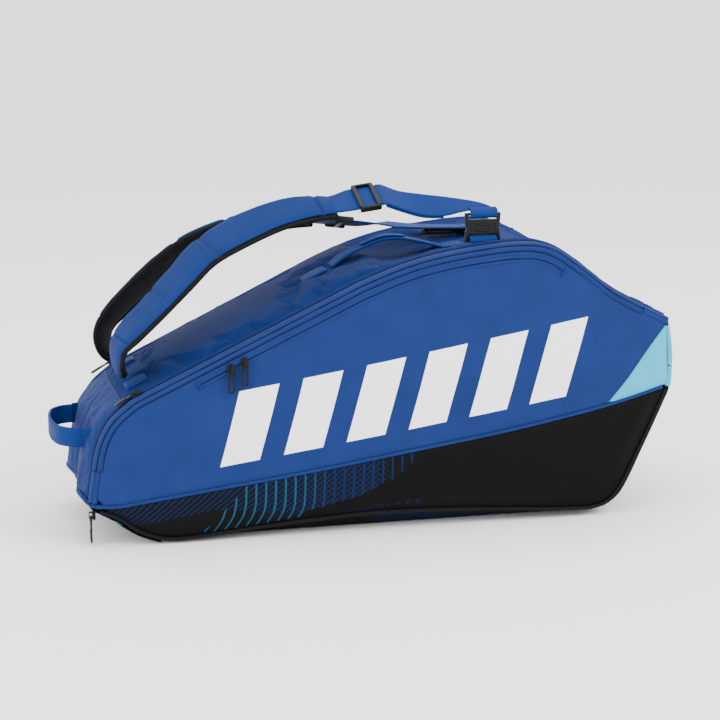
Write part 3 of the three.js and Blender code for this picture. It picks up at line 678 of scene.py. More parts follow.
def make_wall(side):
    """The wall above the waist, one piece over both sides of the fold."""
    label = LABELS[side]
    waist = rail(WAIST, 0.012, CORNER_START, 2.6, 120)
    corner = rail(CORNER, 0.06, 1.0, 0.6, 40)
    low = spread(np.vstack([waist, corner]), 190)
    high = spread(rail(TOP, 0.01, 1.0, 1.8, 260), 190)
    grid = wall_grid(side, low, high, 64, seed=2.0 + side, soft=0.9)
    wall = add_wall(f"{label}_wall_fabric", side, grid, FABRIC, WALL if side < 0 else BLUE,
                    body=None, replaces=(f"{label}_middle_panel", f"{label}_flap_panel"))
    fold = FOLD_HIGH - FOLD_LOW
    across = np.array([-fold[1], fold[0]]) / np.linalg.norm(fold) * FOLD_BLEND
    middle = 0.5 * (FOLD_LOW + FOLD_HIGH)
    start, end = [((x + CENTRE_X) * MM, side * 0.12, z * MM)
                  for x, z in (middle - across, middle + across)]
    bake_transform(wall)


def make_corner(side):
    label = LABELS[side]
    low = spread(rail(WAIST, CORNER_START + 0.004, 1.0, 2.6), 44)
    high = spread(rail(CORNER, 0.02, 1.0, -0.9), 44)
    grid = wall_grid(side, low, high, 26, seed=8.0, soft=1.3)
    add_wall(f"{label}_corner_fabric", side, grid, FABRIC, TEAL, replaces=(f"{label}_corner_panel",))


def make_lower_wall(side):
    label = LABELS[side]
    low = spread(rail(BASE, 0.005, 0.995, 3.0, 200), 180)
    high = spread(rail(WAIST, 0.006, 0.995, -2.4, 200), 180)
    grid = wall_grid(side, low, high, 30, base_turn=26, seed=5.0 + side)
    add_wall(f"{label}_printed_base_wall", side, grid, FABRIC, HATCH,
             replaces=(f"{label}_lower_panel",))
    low = spread(rail(BASE, BASE.t_at(-106), 0.992, 4.0, 200), 150)
    high = spread(np.vstack([GUARD_SEAM.points, rail(WAIST, WAIST.t_at(54), 0.992, -3.0)]), 150)
    guard = wall_grid(side, low, high, 26, out=1.1, base_turn=26, seed=5.0 + side)
    add_wall(f"{label}_guard_panel", side, guard, 0.9, GUARD)
    for column, name in ((-3, "near"), (-5, "far")):
        run = guard[4:-6, column] + (0, side * 0.5, 0)
        add_stitches(f"{label}_guard_stitches_{name}", [run], THREAD_BLACK)


def beside(side, flat, out):
    """A path of (x, z) points, set out from a wall's seam."""
    x, z = flat[:, 0], flat[:, 1]
    return np.stack([x, side * (half_depth(x) + out), z], -1)


def make_piping(side):
    label = LABELS[side]
    add_tube(f"{label}_waist_cord", on_wall(side, rail(WAIST, 0.004, 0.99, 0.0, 160), -0.9), 2.3,
             BLUE, replaces=(f"{label}_waist_piping",))
    path = beside(side, rail(BASE, 0.008, 0.999, 1.6, 180), GAP + 2.6)
    path[:, 2] = np.maximum(path[:, 2], 2.6)
    add_tube(f"{label}_base_cord", path, 2.5, BLACK, replaces=(f"{label}_base_piping",))
    for name, start, end, radius, material in (("tall_end_cord", 0.0, 0.30, 4.2, TEAL),
                                               ("tall_end_foot_cord", 0.30, 0.97, 3.0, GUARD)):
        path = beside(side, rail(TALL_END, start, end, 1.0, 40), 1.6)
        add_tube(f"{label}_{name}", path, radius, material)
    seam = on_wall(side, rail(CORNER, 0.03, 0.99, 3.2, 60), 0.3)
    add_stitches(f"{label}_corner_stitches", [seam], THREAD)


# A zip's padded edge in section: (height above the seam, distance out from the middle depth).
FLAP_EDGE = [[0.2, 0.8], [1.8, 4.2], [3.8, 5.3], [5.6, 4.4], [6.4, 2.0], [7.4, 3.2],
             [8.9, 2.6], [9.8, 0.4], [10.0, -3.0], [9.6, -6.0]]
BODY_EDGE = [[9.6, -8.4], [11.4, -9.4], [12.4, -11.4], [11.8, -14.0], [9.6, -16.8]]
ZIP_LINE = 10.6


def edge_path(side, t, height, out):
    """A path that keeps a height above the top seam and a distance out from it."""
    point = TOP.offset(t, np.full(len(t), height))
    return np.stack([point[:, 0], side * (half_depth(TOP.at(t)[:, 0]) + out), point[:, 1]], -1)


def add_edge(name, side, profile, t, seed, thickness, material, **kw):
    """A padded edge: a section swept along the top seam."""
    grid = np.stack([edge_path(side, t, *spot) for spot in catmull(profile, 4)], 1)
    puff = ripple(grid, 17, seed) * 0.45
    fade = np.sin(np.linspace(0, np.pi, grid.shape[1]))[None]
    grid = grid + (puff * fade)[..., None] * normals_of(grid)
    add_skin(name, grid, thickness, material, outward=side, **kw)


def add_coil(name, path, body="bag"):
    """A zip coil: a fine wire wound round the path, a bead for each turn."""
    spots = resample(path, 0.25)
    turn = np.arange(len(spots)) * 2 * np.pi / 6
    _, side, up = frames_along(spots)
    wire = spots + 1.15 * (np.cos(turn)[:, None] * side + np.sin(turn)[:, None] * up)
    add_tube(name, wire, 0.42, COIL, sides=4, body=body)


def make_main_zip(side):
    label = LABELS[side]
    flap = f"{label}_flap"
    t = np.linspace(ZIP_START + 0.012, ZIP_END - 0.010, 260)
    add_edge(f"{label}_flap_edge", side, FLAP_EDGE, t, 11.0, 1.4, BLUE, body=flap,
             replaces=(f"{label}_flap_piping", f"{label}_zip_flap_tape"))
    whole = np.linspace(0.004, 0.997, 320)
    add_edge(f"{label}_zip_tape_edge", side, BODY_EDGE, whole, 14.0, 1.2, BLUE_TOP,
             replaces=(f"{label}_zip_body_tape",), slot="zip_tape")
    add_coil(f"{label}_flap_coil", edge_path(side, t, ZIP_LINE, -6.3), flap)
    add_coil(f"{label}_body_coil", edge_path(side, t, ZIP_LINE, -8.3))
    full = FLAP_EDGE + [[9.5, -8.0]]
    lap = [[height - 0.8, out - 1.8] for height, out in full]
    for name, start, end in (("low", 0.002, ZIP_START + 0.011), ("tall", ZIP_END - 0.009, 1.0)):
        add_edge(f"{label}_{name}_edge", side, full, np.linspace(start, end, 24), 17.0, 1.4, BLUE)
    for name, middle in (("low", ZIP_START + 0.0115), ("tall", ZIP_END - 0.0095)):
        run = np.linspace(middle - 0.012, middle + 0.012, 16)
        add_edge(f"{label}_{name}_edge_lap", side, lap, run, 17.0, 1.0, BLUE)
    # The groove and foot cords are painted shadow: dark tubes standing for the shade in the groove
    # between the two rolls and under the roll where it meets the wall.
    foot = on_wall(side, rail(TOP, t[0], t[-1], -0.3, 260), 0.4)
    for name, path in (("groove", edge_path(side, t, 6.8, 4.7)), ("foot", foot)):
        add_tube(f"{label}_flap_{name}_seam", path, 1.0, SEAM_SHADOW, sides=6, body=flap)
    below = on_wall(side, rail(TOP, ZIP_START + 0.02, ZIP_END - 0.02, -3.4, 240), 0.1)
    for name, runs, body in (
            ("flap_edge", [edge_path(side, t, 9.2, 2.55), edge_path(side, t, 10.25, -3.4)], flap),
            ("tape_edge", [edge_path(side, whole[8:-8], 12.75, -11.8)], "bag"),
            ("top_seam", [below], flap)):
        add_stitches(f"{label}_{name}_stitches", runs, THREAD, body)


for wall_side in LABELS:
    make_wall(wall_side)
    make_corner(wall_side)
    make_lower_wall(wall_side)
    make_piping(wall_side)
    make_main_zip(wall_side)


# ---- top, ends and base -----------------------------------------------------
END_SEAM = TOP.t_at(-300)
# Where the strap, handle, buckle and hook patches are sewn to the top: x from, to, y from, to.
TOP_PATCHES = ((-291, -268, -67, -43), (-291, -268, 43, 67), (-60, -31, -15, 15),
               (114, 140, -15, 15), (124, 157, -99, -86), (97, 169, 34, 66))


def band_grid(curve, start, end, steps, columns, inset, crown=0.0):
    """A stretch of the band of fabric; the top has a crown of its own."""
    t = np.linspace(start, end, steps)[:, None]
    x = curve.at(t)[..., 0]
    y = np.linspace(-1, 1, columns)[None] * (half_depth(x) - inset)
    return band_point(curve, t, y, top_crown(x) if curve is TOP else crown, 0, inset)


def add_panel(name, grid, material, replaces, thickness=FABRIC, **kw):
    add_skin(name, grid, thickness, material, outward=-1, replaces=(replaces,), **kw)


def close_seam(name, start, end, material, cord=2.2):
    """A folded strip that joins two panels' edges, with a cord sewn along the second one."""
    share = np.linspace(0, 1, 9)[:, None, None]
    grid = start[None] * (1 - share) + end[None] * share
    grid = grid + (0.75 * np.sin(np.pi * share) - 0.6) * normals_of(grid)
    add_skin(f"{name}_strip", grid, FABRIC, material, outward=-1)
    add_tube(f"{name}_cord", end, cord, material)


def make_top():
    grid = band_grid(TOP, END_SEAM + 0.001, 0.996, 210, 64, ZIP_INSET - 0.6)
    add_panel("top_fabric", wrinkled(grid, 0.04, 6.0, 4.0, sewn=TOP_PATCHES, puff=0.3),
              BLUE_TOP, "top_gusset")
    grid = band_grid(TOP, 0.004, END_SEAM, 70, 64, ZIP_INSET - 0.6)
    add_panel("low_end_fabric", wrinkled(grid, 0.03, 4.0, 6.0, puff=0.3), BLUE, "left_end_panel")
    seam = band_grid(TOP, END_SEAM, END_SEAM + 0.001, 2, 40, ZIP_INSET)[0]
    add_tube("low_end_cord", seam + (-0.6, 0, 0.8), 1.8, BLUE)


def make_panel_joins():
    """The top turns down into the tall end, and the low end turns under into the base."""
    inset = -SKIN + 0.5
    top_edge = band_grid(TOP, 0.990, 0.996, 2, 50, inset)[-1]
    end_edge = band_grid(TALL_END, 0.004, 0.010, 2, 50, inset, 1.5)[0]
    close_seam("tall_end_top", top_edge, end_edge, BLUE)
    base_edge = band_grid(LOW_BASE, 0.99, 0.999, 2, 50, GAP, 7)[-1]
    low_edge = band_grid(TOP, 0.004, 0.010, 2, 50, GAP)[0]
    close_seam("low_end_foot", base_edge, low_edge, BLACK, cord=1.6)
    reach = float(half_depth(-345.0)) + SKIN
    corner = [[-338, reach, 51], [-346, reach - 3, 52.5], [-351, reach - 11, 54]]
    middle = low_edge[4:-4:6] + (-0.8, 0, -1.2)
    path = [[x, -y, z] for x, y, z in corner] + middle.tolist() + corner[::-1]
    add_tube("low_end_roll", catmull(path, 8), 3.4, WEBBING, sides=14)


def make_ends():
    upper = band_grid(TALL_END, 0.004, 0.248, 40, 50, GAP, 1.5)
    add_panel("tall_end_upper_fabric", wrinkled(upper, 0.02, 3.0, 9.0), BLUE, "right_end_upper")
    lower = band_grid(TALL_END, 0.25, 0.992, 90, 50, GAP, 5.0)
    add_panel("tall_end_lower_fabric", wrinkled(lower, 0.015, 3.0, 10.0), GUARD,
              "right_end_lower")
    add_tube("tall_end_seam_cord", upper[-1] + (1.0, 0, 0), 1.9, WEBBING)
    low = band_grid(LOW_BASE, 0.01, 0.89, 50, 50, GAP, 7 * np.linspace(0, 1, 50)[:, None])
    add_panel("low_base_fabric", wrinkled(low, 0.012, 2.5, 12.0), HATCH, "left_base_panel",
              uv=low[..., [1, 2]] * MM)
    tape = band_grid(LOW_BASE, 0.895, 1.0, 10, 60, GAP, 7)
    add_panel("base_end_zip_tape", tape, TAPE, "base_end_zip", 1.6)
    add_coil("base_end_coil", band_grid(LOW_BASE, 0.94, 0.945, 2, 80, GAP, 7.7)[0])
    edge = band_grid(LOW_BASE, 0.885, 0.89, 2, 80, GAP, 7.4)[0]
    add_tube("base_end_zip_welt", edge, 1.5, BLACK)


def make_base():
    seam = BASE.at(np.linspace(BASE.t_at(-268), BASE.t_at(294), 150))
    reach = (half_depth(seam[:, 0]) - GAP)[:, None]
    y = reach * np.linspace(-1, 1, 60)[None]
    lift = smooth((np.abs(y) - 88) / (reach - 88)) * (seam[:, 1:] - 1)
    grid = np.stack([np.broadcast_to(seam[:, :1], y.shape), y, lift], -1)
    add_panel("base_fabric", grid, BASE_PRINT, "base_panel", uv=grid[..., :2] * MM)


make_top()
make_panel_joins()
make_ends()
make_base()


# ---- straps and webbing -----------------------------------------------------
FRONT_INNER = [[-298, -51, 196], [-306, -38, 206], [-310, -30, 219], [-309, -28, 237],
               [-297, -27, 257], [-274, -27, 281], [-240, -28, 318], [-209, -28, 351],
               [-167, -30, 378], [-131, -32, 393], [-95, -35, 403], [-66, -37, 405],
               [-38, -38, 403]]
FRONT_OUTER = [[-299, -59, 195], [-303, -74, 205], [-305, -83, 218], [-301, -84, 234],
               [-284, -84, 249], [-257, -84, 274], [-222, -84, 308], [-192, -84, 337],
               [-157, -83, 356], [-114, -80, 374], [-84, -77, 382], [-60, -75, 386],
               [-38, -74, 388]]
REAR_INNER = [[-298, 51, 196], [-312, 38, 204], [-322, 30, 219], [-324, 28, 240],
              [-312, 27, 264], [-286, 28, 292], [-249, 28, 326], [-212, 29, 351], [-172, 30, 367],
              [-134, 32, 376], [-97, 34, 379], [-66, 36, 377], [-38, 37, 370.5]]
REAR_OUTER = [[-296, 59, 195], [-300, 74, 204], [-302, 83, 217], [-297, 84, 234],
              [-277, 84, 253], [-252, 84, 275], [-221, 84, 300], [-192, 84, 319], [-161, 83, 335],
              [-126, 80, 347], [-91, 77, 353], [-62, 75, 357], [-38, 73, 358.6]]


def ribbon_grid(left, right, columns, lift, spans=10, margin=0.0):
    """A strap's face between two edges; lift is a height at each share of length and width."""
    a, b = catmull(left, spans), catmull(right, spans)
    bare = between(a, b, columns, margin)
    up = np.cross(np.gradient(bare, axis=0), (b - a)[:, None])
    up = up / np.maximum(np.linalg.norm(up, axis=-1, keepdims=True), 1e-9)
    share = np.linspace(2 * margin - 1, 1 - 2 * margin, columns)[None]
    return bare + up * lift(np.linspace(0, 1, len(a))[:, None], share)[..., None]


def pad_height(edge, crown, seams=(), outward=1):
    """A quilted pad's height: crowned across, drawn in at its cross seams."""
    def height(u, share):
        body = edge + (crown - edge) * np.clip(1 - np.abs(share) ** 3.2, 0, 1) ** 0.7
        ends = smooth(np.minimum(u, 1 - u) / 0.03)
        drawn = sum(np.exp(-((u - seam) / 0.006) ** 2) for seam in seams)
        return outward * (0.8 + (body - 0.8) * ends
                          - (crown - edge) * 0.62 * np.clip(drawn, 0, 1))
    return height


def make_strap(side, inner, outer, seams):
    label = LABELS[side]
    body = f"{label}_strap"
    left, right = (outer, inner) if side < 0 else (inner, outer)
    top = ribbon_grid(left, right, 22, pad_height(2.0, 6.2, seams), 14)
    top = top + (ripple(top, 19, 21.0 + side) * 0.6)[..., None] * normals_of(top)
    cover = add_skin(f"{label}_strap_cover", top, 3.2, BLUE_STRAP, body=body,
                     replaces=(f"{label}_strap_pad",))
    under = ribbon_grid(left, right, 22, pad_height(1.0, 5.6, outward=-1), 14, 0.02)
    pad = add_skin(f"{label}_strap_mesh", under, 2.6, MESH, outward=-1, body=body,
                   replaces=(f"{label}_strap_backing",))
    for name, edge in (("inner", inner), ("outer", outer)):
        low = catmull(edge, 12)[9:] - (0, 0, 2.6)
        add_tube(f"{label}_strap_{name}_binding", low, 3.1, BLACK, body=body)
    rows = [top[4:-4, column] + (0, 0, 0.25) for column in (3, -4)]
    rows += [top[int(seam * (len(top) - 1)) + shift, 2:-2] + (0, 0, 0.5)
             for seam in seams for shift in (-1, 1)]
    add_stitches(f"{label}_strap_stitches", rows, THREAD_LIGHT, body)


def make_teal_accent():
    """A band of light fabric sewn across the rear strap between two of its seams."""
    grid = ribbon_grid(REAR_INNER, REAR_OUTER, 22, pad_height(2.0, 6.2, (0.56, 0.70)), 14)
    patch = grid[int(0.57 * len(grid)):int(0.69 * len(grid)), 1:-1]
    add_skin("rear_strap_accent", patch + 0.9 * normals_of(patch), 0.8, TEAL, body="rear_strap")


make_strap(-1, FRONT_INNER, FRONT_OUTER, (0.28, 0.45, 0.60, 0.93))
make_strap(1, REAR_INNER, REAR_OUTER, (0.30, 0.56, 0.70, 0.93))
make_teal_accent()


def add_webbing(name, left, right, body, lift=0.0, thickness=1.9, spans=12, stitched=True,
                replaces=()):
    """Flat webbing with slightly rolled edges."""
    def height(u, share):
        return lift + thickness * 0.5 * (1 - 0.35 * np.abs(share) ** 6)
    grid = ribbon_grid(left, right, 13, height, spans)
    add_skin(name, grid, thickness, WEBBING, body=body, replaces=replaces)
    if stitched:
        rows = [grid[2:-2, 1] + (0, 0, 0.1), grid[2:-2, -2] + (0, 0, 0.1)]
        add_stitches(f"{name}_stitches", rows, THREAD_LIGHT, body, pitch=2.6, radius=0.3)


def raised(points, height):
    return [[x, y, z + height] for x, y, z in points]


def narrowed(left, right, margin):
    """The two edges of a strap, drawn in by margin on each side."""
    a, b = np.array(left, float), np.array(right, float)
    reach = margin * (b - a) / np.linalg.norm(b - a, axis=1, keepdims=True)
    return (a + reach).tolist(), (b - reach).tolist()


FRONT_WEB_INNER = [[-50, -38, 404.6], [-37, -38, 406], [-20, -38, 412], [-9, -38, 413.5],
                   [2, -38, 415], [13, -38, 416.5], [24, -38, 418], [46, -41, 410],
                   [74, -49, 406], [104, -62, 403], [138, -80, 398], [159, -89, 390]]
FRONT_WEB_OUTER = [[-50, -74, 390], [-37, -74, 390.5], [-20, -74, 392], [-9, -74, 393.5],
                   [2, -74, 395], [13, -74, 396.5], [24, -74, 398], [44, -76, 391],
                   [68, -80, 384], [92, -86, 383.5], [110, -91, 388], [123, -92, 390]]
REAR_WEB_INNER = [[-50, 37, 373], [-37, 37, 370], [-6, 37, 366], [25, 37, 362], [60, 37, 355.5]]
REAR_WEB_OUTER = [[-50, 73, 358], [-37, 73, 358.5], [-6, 73, 355.5], [25, 73, 353], [60, 73, 356.5]]
REAR_END_INNER = [[61, 37, 354], [94, 37, 352], [128, 36, 351], [158, 34, 350.4]]
REAR_END_OUTER = [[61, 73, 357], [94, 72, 353], [128, 70, 351.2], [158, 67, 350.4]]
RETURN_OUTER, RETURN_INNER = narrowed(FRONT_WEB_OUTER[6:-2], FRONT_WEB_INNER[6:-2], 1.5)
add_webbing("front_webbing", FRONT_WEB_OUTER, FRONT_WEB_INNER, "front_strap",
            replaces=("front_strap_webbing",))
add_webbing("front_webbing_return", raised(RETURN_OUTER, -3.4), raised(RETURN_INNER, -3.4),
            "front_strap")
add_webbing("rear_webbing", REAR_WEB_INNER, REAR_WEB_OUTER, "rear_strap",
            replaces=("rear_strap_webbing",))
add_webbing("rear_webbing_end", REAR_END_INNER, REAR_END_OUTER, "bag",
            replaces=("rear_strap_webbing_end",))

# Webbing turned round the buckle's two bars, as (y, z) sections.
for loop_name, section in (
        ("top", [[-80, 389.6], [-88, 391.2], [-94, 390.4], [-97.4, 387.5], [-97.2, 384],
                 [-94, 381.6]]),
        ("low", [[-88, 350.5], [-87.2, 354], [-90, 357], [-94, 357], [-97, 354],
                 [-97.2, 350.5]])):
    add_webbing(f"buckle_{loop_name}_loop", [[157.5, *spot] for spot in section],
                [[122.5, *spot] for spot in section], "front_strap", lift=-0.9, thickness=1.7,
                spans=8, stitched=False)
add_webbing("hook_bar_loop", [[155, 34, 350.6], [165, 33, 350.3], [169, 33, 347.8],
                              [168.6, 33, 344.8]],
            [[155, 67, 350.6], [165, 66, 350.3], [169, 65, 347.8], [168.6, 65, 344.8]],
            "bag", lift=0.6, thickness=1.6, spans=8)


# ---- handle, grab loop and sewn tabs ----------------------------------------
def band_patch(name, x0, x1, y0, y1, thickness, replaces):
    """A sewn patch on the top, with turned-in edges."""
    t = np.linspace(TOP.t_at(x0), TOP.t_at(x1), 26)[:, None]
    y = np.linspace(y0, y1, 22)[None]
    u, v = np.linspace(-1, 1, 26)[:, None], np.linspace(-1, 1, 22)[None]
    puff = (1 - np.abs(u) ** 8) * (1 - np.abs(v) ** 8)
    grid = band_point(TOP, t, y, top_crown(TOP.at(t)[..., 0]),
                      GAP + thickness * (0.45 + 0.55 * puff))
    add_panel(name, grid, WEBBING, replaces, thickness)
    runs = [grid[2:-2, 2], grid[2:-2, -3], grid[2, 2:-2], grid[-3, 2:-2]]
    steps = [(2 + k, int(k * 17 / 21)) for k in range(22)]
    runs += [np.array([grid[row, 2 + column] for row, column in steps]),
             np.array([grid[row, -3 - column] for row, column in steps])]
    add_stitches(f"{name}_stitches", [run + (0, 0, 0.25) for run in runs], THREAD_LIGHT,
                 pitch=2.4, radius=0.3)


for patch_name, *patch, replaced in (
        ("front_strap_root", -291, -268, -68, -44, 2.4, "front_strap_tab"),
        ("rear_strap_root", -291, -268, 44, 68, 2.4, "rear_strap_tab"),
        ("handle_left_end", -60, -31, -15, 15, 2.4, "handle_left_patch"),
        ("handle_right_end", 114, 140, -15, 15, 2.4, "handle_right_patch"),
        ("buckle_tab", 124, 157, -99, -86, 1.8, "front_buckle_tab"),
        ("hook_tab", 97, 113, 40, 60, 1.8, "rear_hook_tab")):
    band_patch(patch_name, *patch, replaced)

HANDLE = [[-32, 314.5], [-28, 318], [-14, 328], [8, 338], [36, 347.5], [64, 347], [90, 341.5],
          [111, 336], [116, 334.5]]
LOOP = [[-353, -66], [-368, -62], [-381, -47], [-387, -22], [-388, 0], [-387, 22], [-381, 47],
        [-368, 62], [-353, 66]]
ANCHOR = [[-353, 67.5], [-344, 70], [-338, 78], [-335, 90]]


def make_handle():
    left, right = [[[x, y, z] for x, z in HANDLE] for y in (-14, 14)]
    add_webbing("carry_handle", left, right, "top_handle", lift=-1.5, thickness=2.6, spans=14,
                replaces=("top_handle",))
    left, right = narrowed(left[3:-3], right[3:-3], 6.0)
    add_webbing("carry_handle_fold", raised(left, 1.6), raised(right, 1.6), "top_handle",
                lift=0.2, thickness=1.6, spans=14)


def make_grab_loop():
    low, high = [[[x, y, z] for x, y in LOOP] for z in (114, 138)]
    add_webbing("end_grab_loop", high, low, "grab_loop", lift=-1.6, thickness=2.8, spans=14,
                replaces=("grab_loop",))
    for side, label in LABELS.items():
        run = ANCHOR[::-side]
        left, right = [[[x, side * y, z] for x, y in run] for z in (126 + 13 * side,
                                                                    126 - 13 * side)]
        add_webbing(f"grab_loop_{label}_anchor", left, right, "bag", lift=1.0, thickness=2.2,
                    spans=8)


make_handle()
make_grab_loop()


# ---- hardware ---------------------------------------------------------------
def rounded(width, height, radius, centre=(0, 0), steps=8):
    """The outline of a rounded rectangle."""
    points = []
    for k, (sx, sy) in enumerate(((1, 1), (-1, 1), (-1, -1), (1, -1))):
        middle = (sx * (width / 2 - radius) + centre[0], sy * (height / 2 - radius) + centre[1])
        for angle in np.linspace(0, math.pi / 2, steps) + k * math.pi / 2:
            points.append((middle[0] + radius * math.cos(angle),
                           middle[1] + radius * math.sin(angle)))
    return points


def placement(origin, x_axis, y_axis):
    x = np.array(x_axis, float) / np.linalg.norm(x_axis)
    z = np.cross(x, y_axis)
    z = z / np.linalg.norm(z)
    return np.array(origin, float), np.stack([x, np.cross(z, x), z])


def plate(outline, holes, thickness, bevel, offset=(0, 0, 0)):
    """A flat moulded plate with rounded edges and windows, lying in its own plane."""
    curve = bpy.data.curves.new("plate", "CURVE")
    curve.dimensions = "2D"
    curve.fill_mode = "BOTH"
    curve.extrude = max(thickness / 2 - bevel, 0.001)
    curve.bevel_depth = bevel
    curve.bevel_resolution = 3
    curve.offset = -bevel
    for loop in [outline, *holes]:
        spline = curve.splines.new("POLY")
        spline.points.add(len(loop) - 1)
        spline.points.foreach_set("co", [c for x, y in loop for c in (x, y, 0, 1)])
        spline.use_cyclic_u = True
    carrier = bpy.data.objects.new("plate", curve)
    mesh = bpy.data.meshes.new_from_object(carrier)
    points = np.array([vertex.co[:] for vertex in mesh.vertices])
    faces = [list(face.vertices) for face in mesh.polygons]
    bpy.data.objects.remove(carrier)
    bpy.data.curves.remove(curve)
    bpy.data.meshes.remove(mesh)
    return points + offset, faces


def join_parts(parts):
    points, faces, start = [], [], 0
    for part_points, part_faces in parts:
        points.append(part_points)
        faces += [[start + index for index in face] for face in part_faces]
        start += len(part_points)
    return np.vstack(points), faces


def tilt(part, angle, about=(0, 0, 0)):
    """A part turned about a line along local y."""
    points, faces = part
    c, s = math.cos(angle), math.sin(angle)
    turned = (points - about) @ np.array([[c, 0, -s], [0, 1, 0], [s, 0, c]]) + about
    return turned, faces


def shift(part, offset):
    return part[0] + np.array(offset, float), part[1]


def stand(part):
    """A flat part turned upright about local x."""
    x, y, z = part[0].T
    return np.stack([x, -z, y], -1), part[1]


def add_hardware(name, part, place, material, body, replaces=()):
    origin, axes = place
    piece = add_mesh(name, part[0] @ axes + origin, part[1], material, body=body,
                     replaces=replaces)
    weld = piece.modifiers.new("weld", "WELD")
    weld.merge_threshold = 0.00001
    edges = piece.modifiers.new("edges", "EDGE_SPLIT")
    edges.split_angle = math.radians(38)


def slider_parts():
    shape = [(-6, -3.4), (-2, -4.5), (4, -4.5), (6, -2.4), (6, 2.4), (4, 4.5), (-2, 4.5),
             (-6, 3.4)]
    bridge = stand(plate(rounded(9, 5, 1.6), [rounded(5.8, 3.2, 1.2)], 2.6, 0.5))
    return join_parts([plate(rounded(12, 9, 2.6), [], 1.3, 0.4, (0, 0, 0.65)),
                       plate(outline_of(shape, 40), [], 1.4, 0.5, (0, 0, 2.5)),
                       plate(rounded(4, 2.4, 1.0), [], 1.6, 0.2, (3, 0, 1.5)),
                       shift(bridge, (0, 0, 5.2))])


def puller_parts(length, slotted, turn):
    """A pull tab: a plain looped one, or a waisted one with a raised grip."""
    tip = length / 2
    holes = [rounded(6, 5.2, 1.6, (tip - 4.6, 0))]
    if slotted:
        slot = length - 13.2
        holes.append(rounded(slot, 3.6, 1.7, (-tip + 2.4 + slot / 2, 0)))
        parts = [plate(rounded(length, 8.2, 3.0), holes, 1.7, 0.5)]
    else:
        half = [(tip, 2.2), (tip - 3, 4.0), (tip - 9, 3.6), (0, 3.0), (-tip + 8, 3.4),
                (-tip + 3, 4.1), (-tip, 2.4)]
        whole = [(tip, -2.2), *half, *[(x, -y) for x, y in half[:0:-1]]]
        parts = [plate(catmull(whole + whole[:1], 5)[:-1].tolist(), holes, 1.7, 0.5),
                 plate(rounded(length * 0.45, 4.0, 1.6, (-length * 0.2, 0)), [], 1.0, 0.3,
                       (0, 0, 0.9))]
    flat = shift(join_parts(parts), (-tip + 0.8, 0, 0))
    return shift(tilt(flat, turn), (-1.6, 0, 5.2))


def make_slider(prefix, name, place, length, slotted=False, turn=0.0):
    add_hardware(f"{prefix}_slider_body", slider_parts(), place, METAL, f"{name}_slider",
                 (f"{prefix}_slider",))
    add_hardware(f"{prefix}_pull_tab", puller_parts(length, slotted, turn), place, METAL,
                 f"{name}_puller", (f"{prefix}_puller",))


def make_sliders():
    slope = (SLOPE_HIGH[0] - SLOPE_LOW[0], 0, SLOPE_HIGH[1] - SLOPE_LOW[1])
    for side, x in ((-1, -284), (1, -290)):
        point = TOP.offset(TOP.t_at(x), np.array(SKIN + ZIP_RISE + GAP))
        origin = (point[0], side * (half_depth(x) - ZIP_HALF - 0.2), point[1])
        make_slider(f"{LABELS[side]}_main_zip", f"{LABELS[side]}_main",
                    placement(origin, slope, (0, 1, 0)), 30, turn=-0.08)
    for prefix, x in (("pocket_left", -184), ("pocket_right", -168)):
        point = TOP.offset(TOP.t_at(x), np.array(-9.0))
        origin = (point[0], wall_y(-1, point[0], point[1], 4.0), point[1])
        make_slider(prefix, prefix, placement(origin, (0, 0, 1), (-1, 0, 0)), 28, slotted=True)
    reach = 110 - GAP
    lean = math.atan(2 * 7 * 97 / reach ** 2)
    spot = band_point(LOW_BASE, np.array(0.93), np.array(-97.0), 7, 5.4, GAP)
    place = placement(spot, (0, 0, 1), (-math.sin(lean), math.cos(lean), 0))
    make_slider("base_end_zip", "base_end", place, 34)


def make_ladder_lock(label, inner, outer, at):
    """Two side bars, two upper bars and a lower middle bar, with soft corners."""
    side_bar = stand(plate(rounded(27, 8, 2.4), [], 3.4, 1.0))
    bar = plate(rounded(5.4, 44, 1.4), [], 2.2, 0.8)
    parts = [shift(side_bar, (0, y, 0)) for y in (22.4, -22.4)]
    parts += [shift(bar, spot) for spot in ((11, 0, 3.3), (-11, 0, 3.3), (0, 0, -3.1))]
    a, b = np.array(inner, float), np.array(outer, float)
    across = a[at] - b[at]
    across = across if across[1] > 0 else -across
    place = placement(0.5 * (a[at] + b[at]), a[at + 1] - a[at - 1], across)
    add_hardware(f"{label}_adjuster", join_parts(parts), place, PLASTIC, f"{label}_ladder_lock",
                 (f"{label}_ladder_lock",))


def make_buckle():
    """An upright side-release style buckle: waisted plate, two slots and an oval recess."""
    waisted = [(-23, -18), (23, -18), (22, -6), (20.5, 0), (22, 6), (23, 18), (-23, 18), (-22, 6),
               (-20.5, 0), (-22, -6)]
    holes = [rounded(37, 5, 1.5, (0, 12.5)), rounded(37, 6, 1.5, (0, -12))]
    parts = [plate(outline_of(waisted, 90), holes, 6, 1.4),
             plate(rounded(22, 10, 5.0), [rounded(15, 5, 2.4)], 1.6, 0.6, (0, 0, 3.2))]
    parts += [plate(rounded(2.0, 8, 0.9), [], 1.4, 0.5, (x, 0, 3.2)) for x in (-16, 16)]
    add_hardware("strap_buckle", join_parts(parts), placement((140, -92, 368.6), (1, 0, 0),
                                                              (0, 0, 1)),
                 PLASTIC, "front_strap", ("front_buckle",))


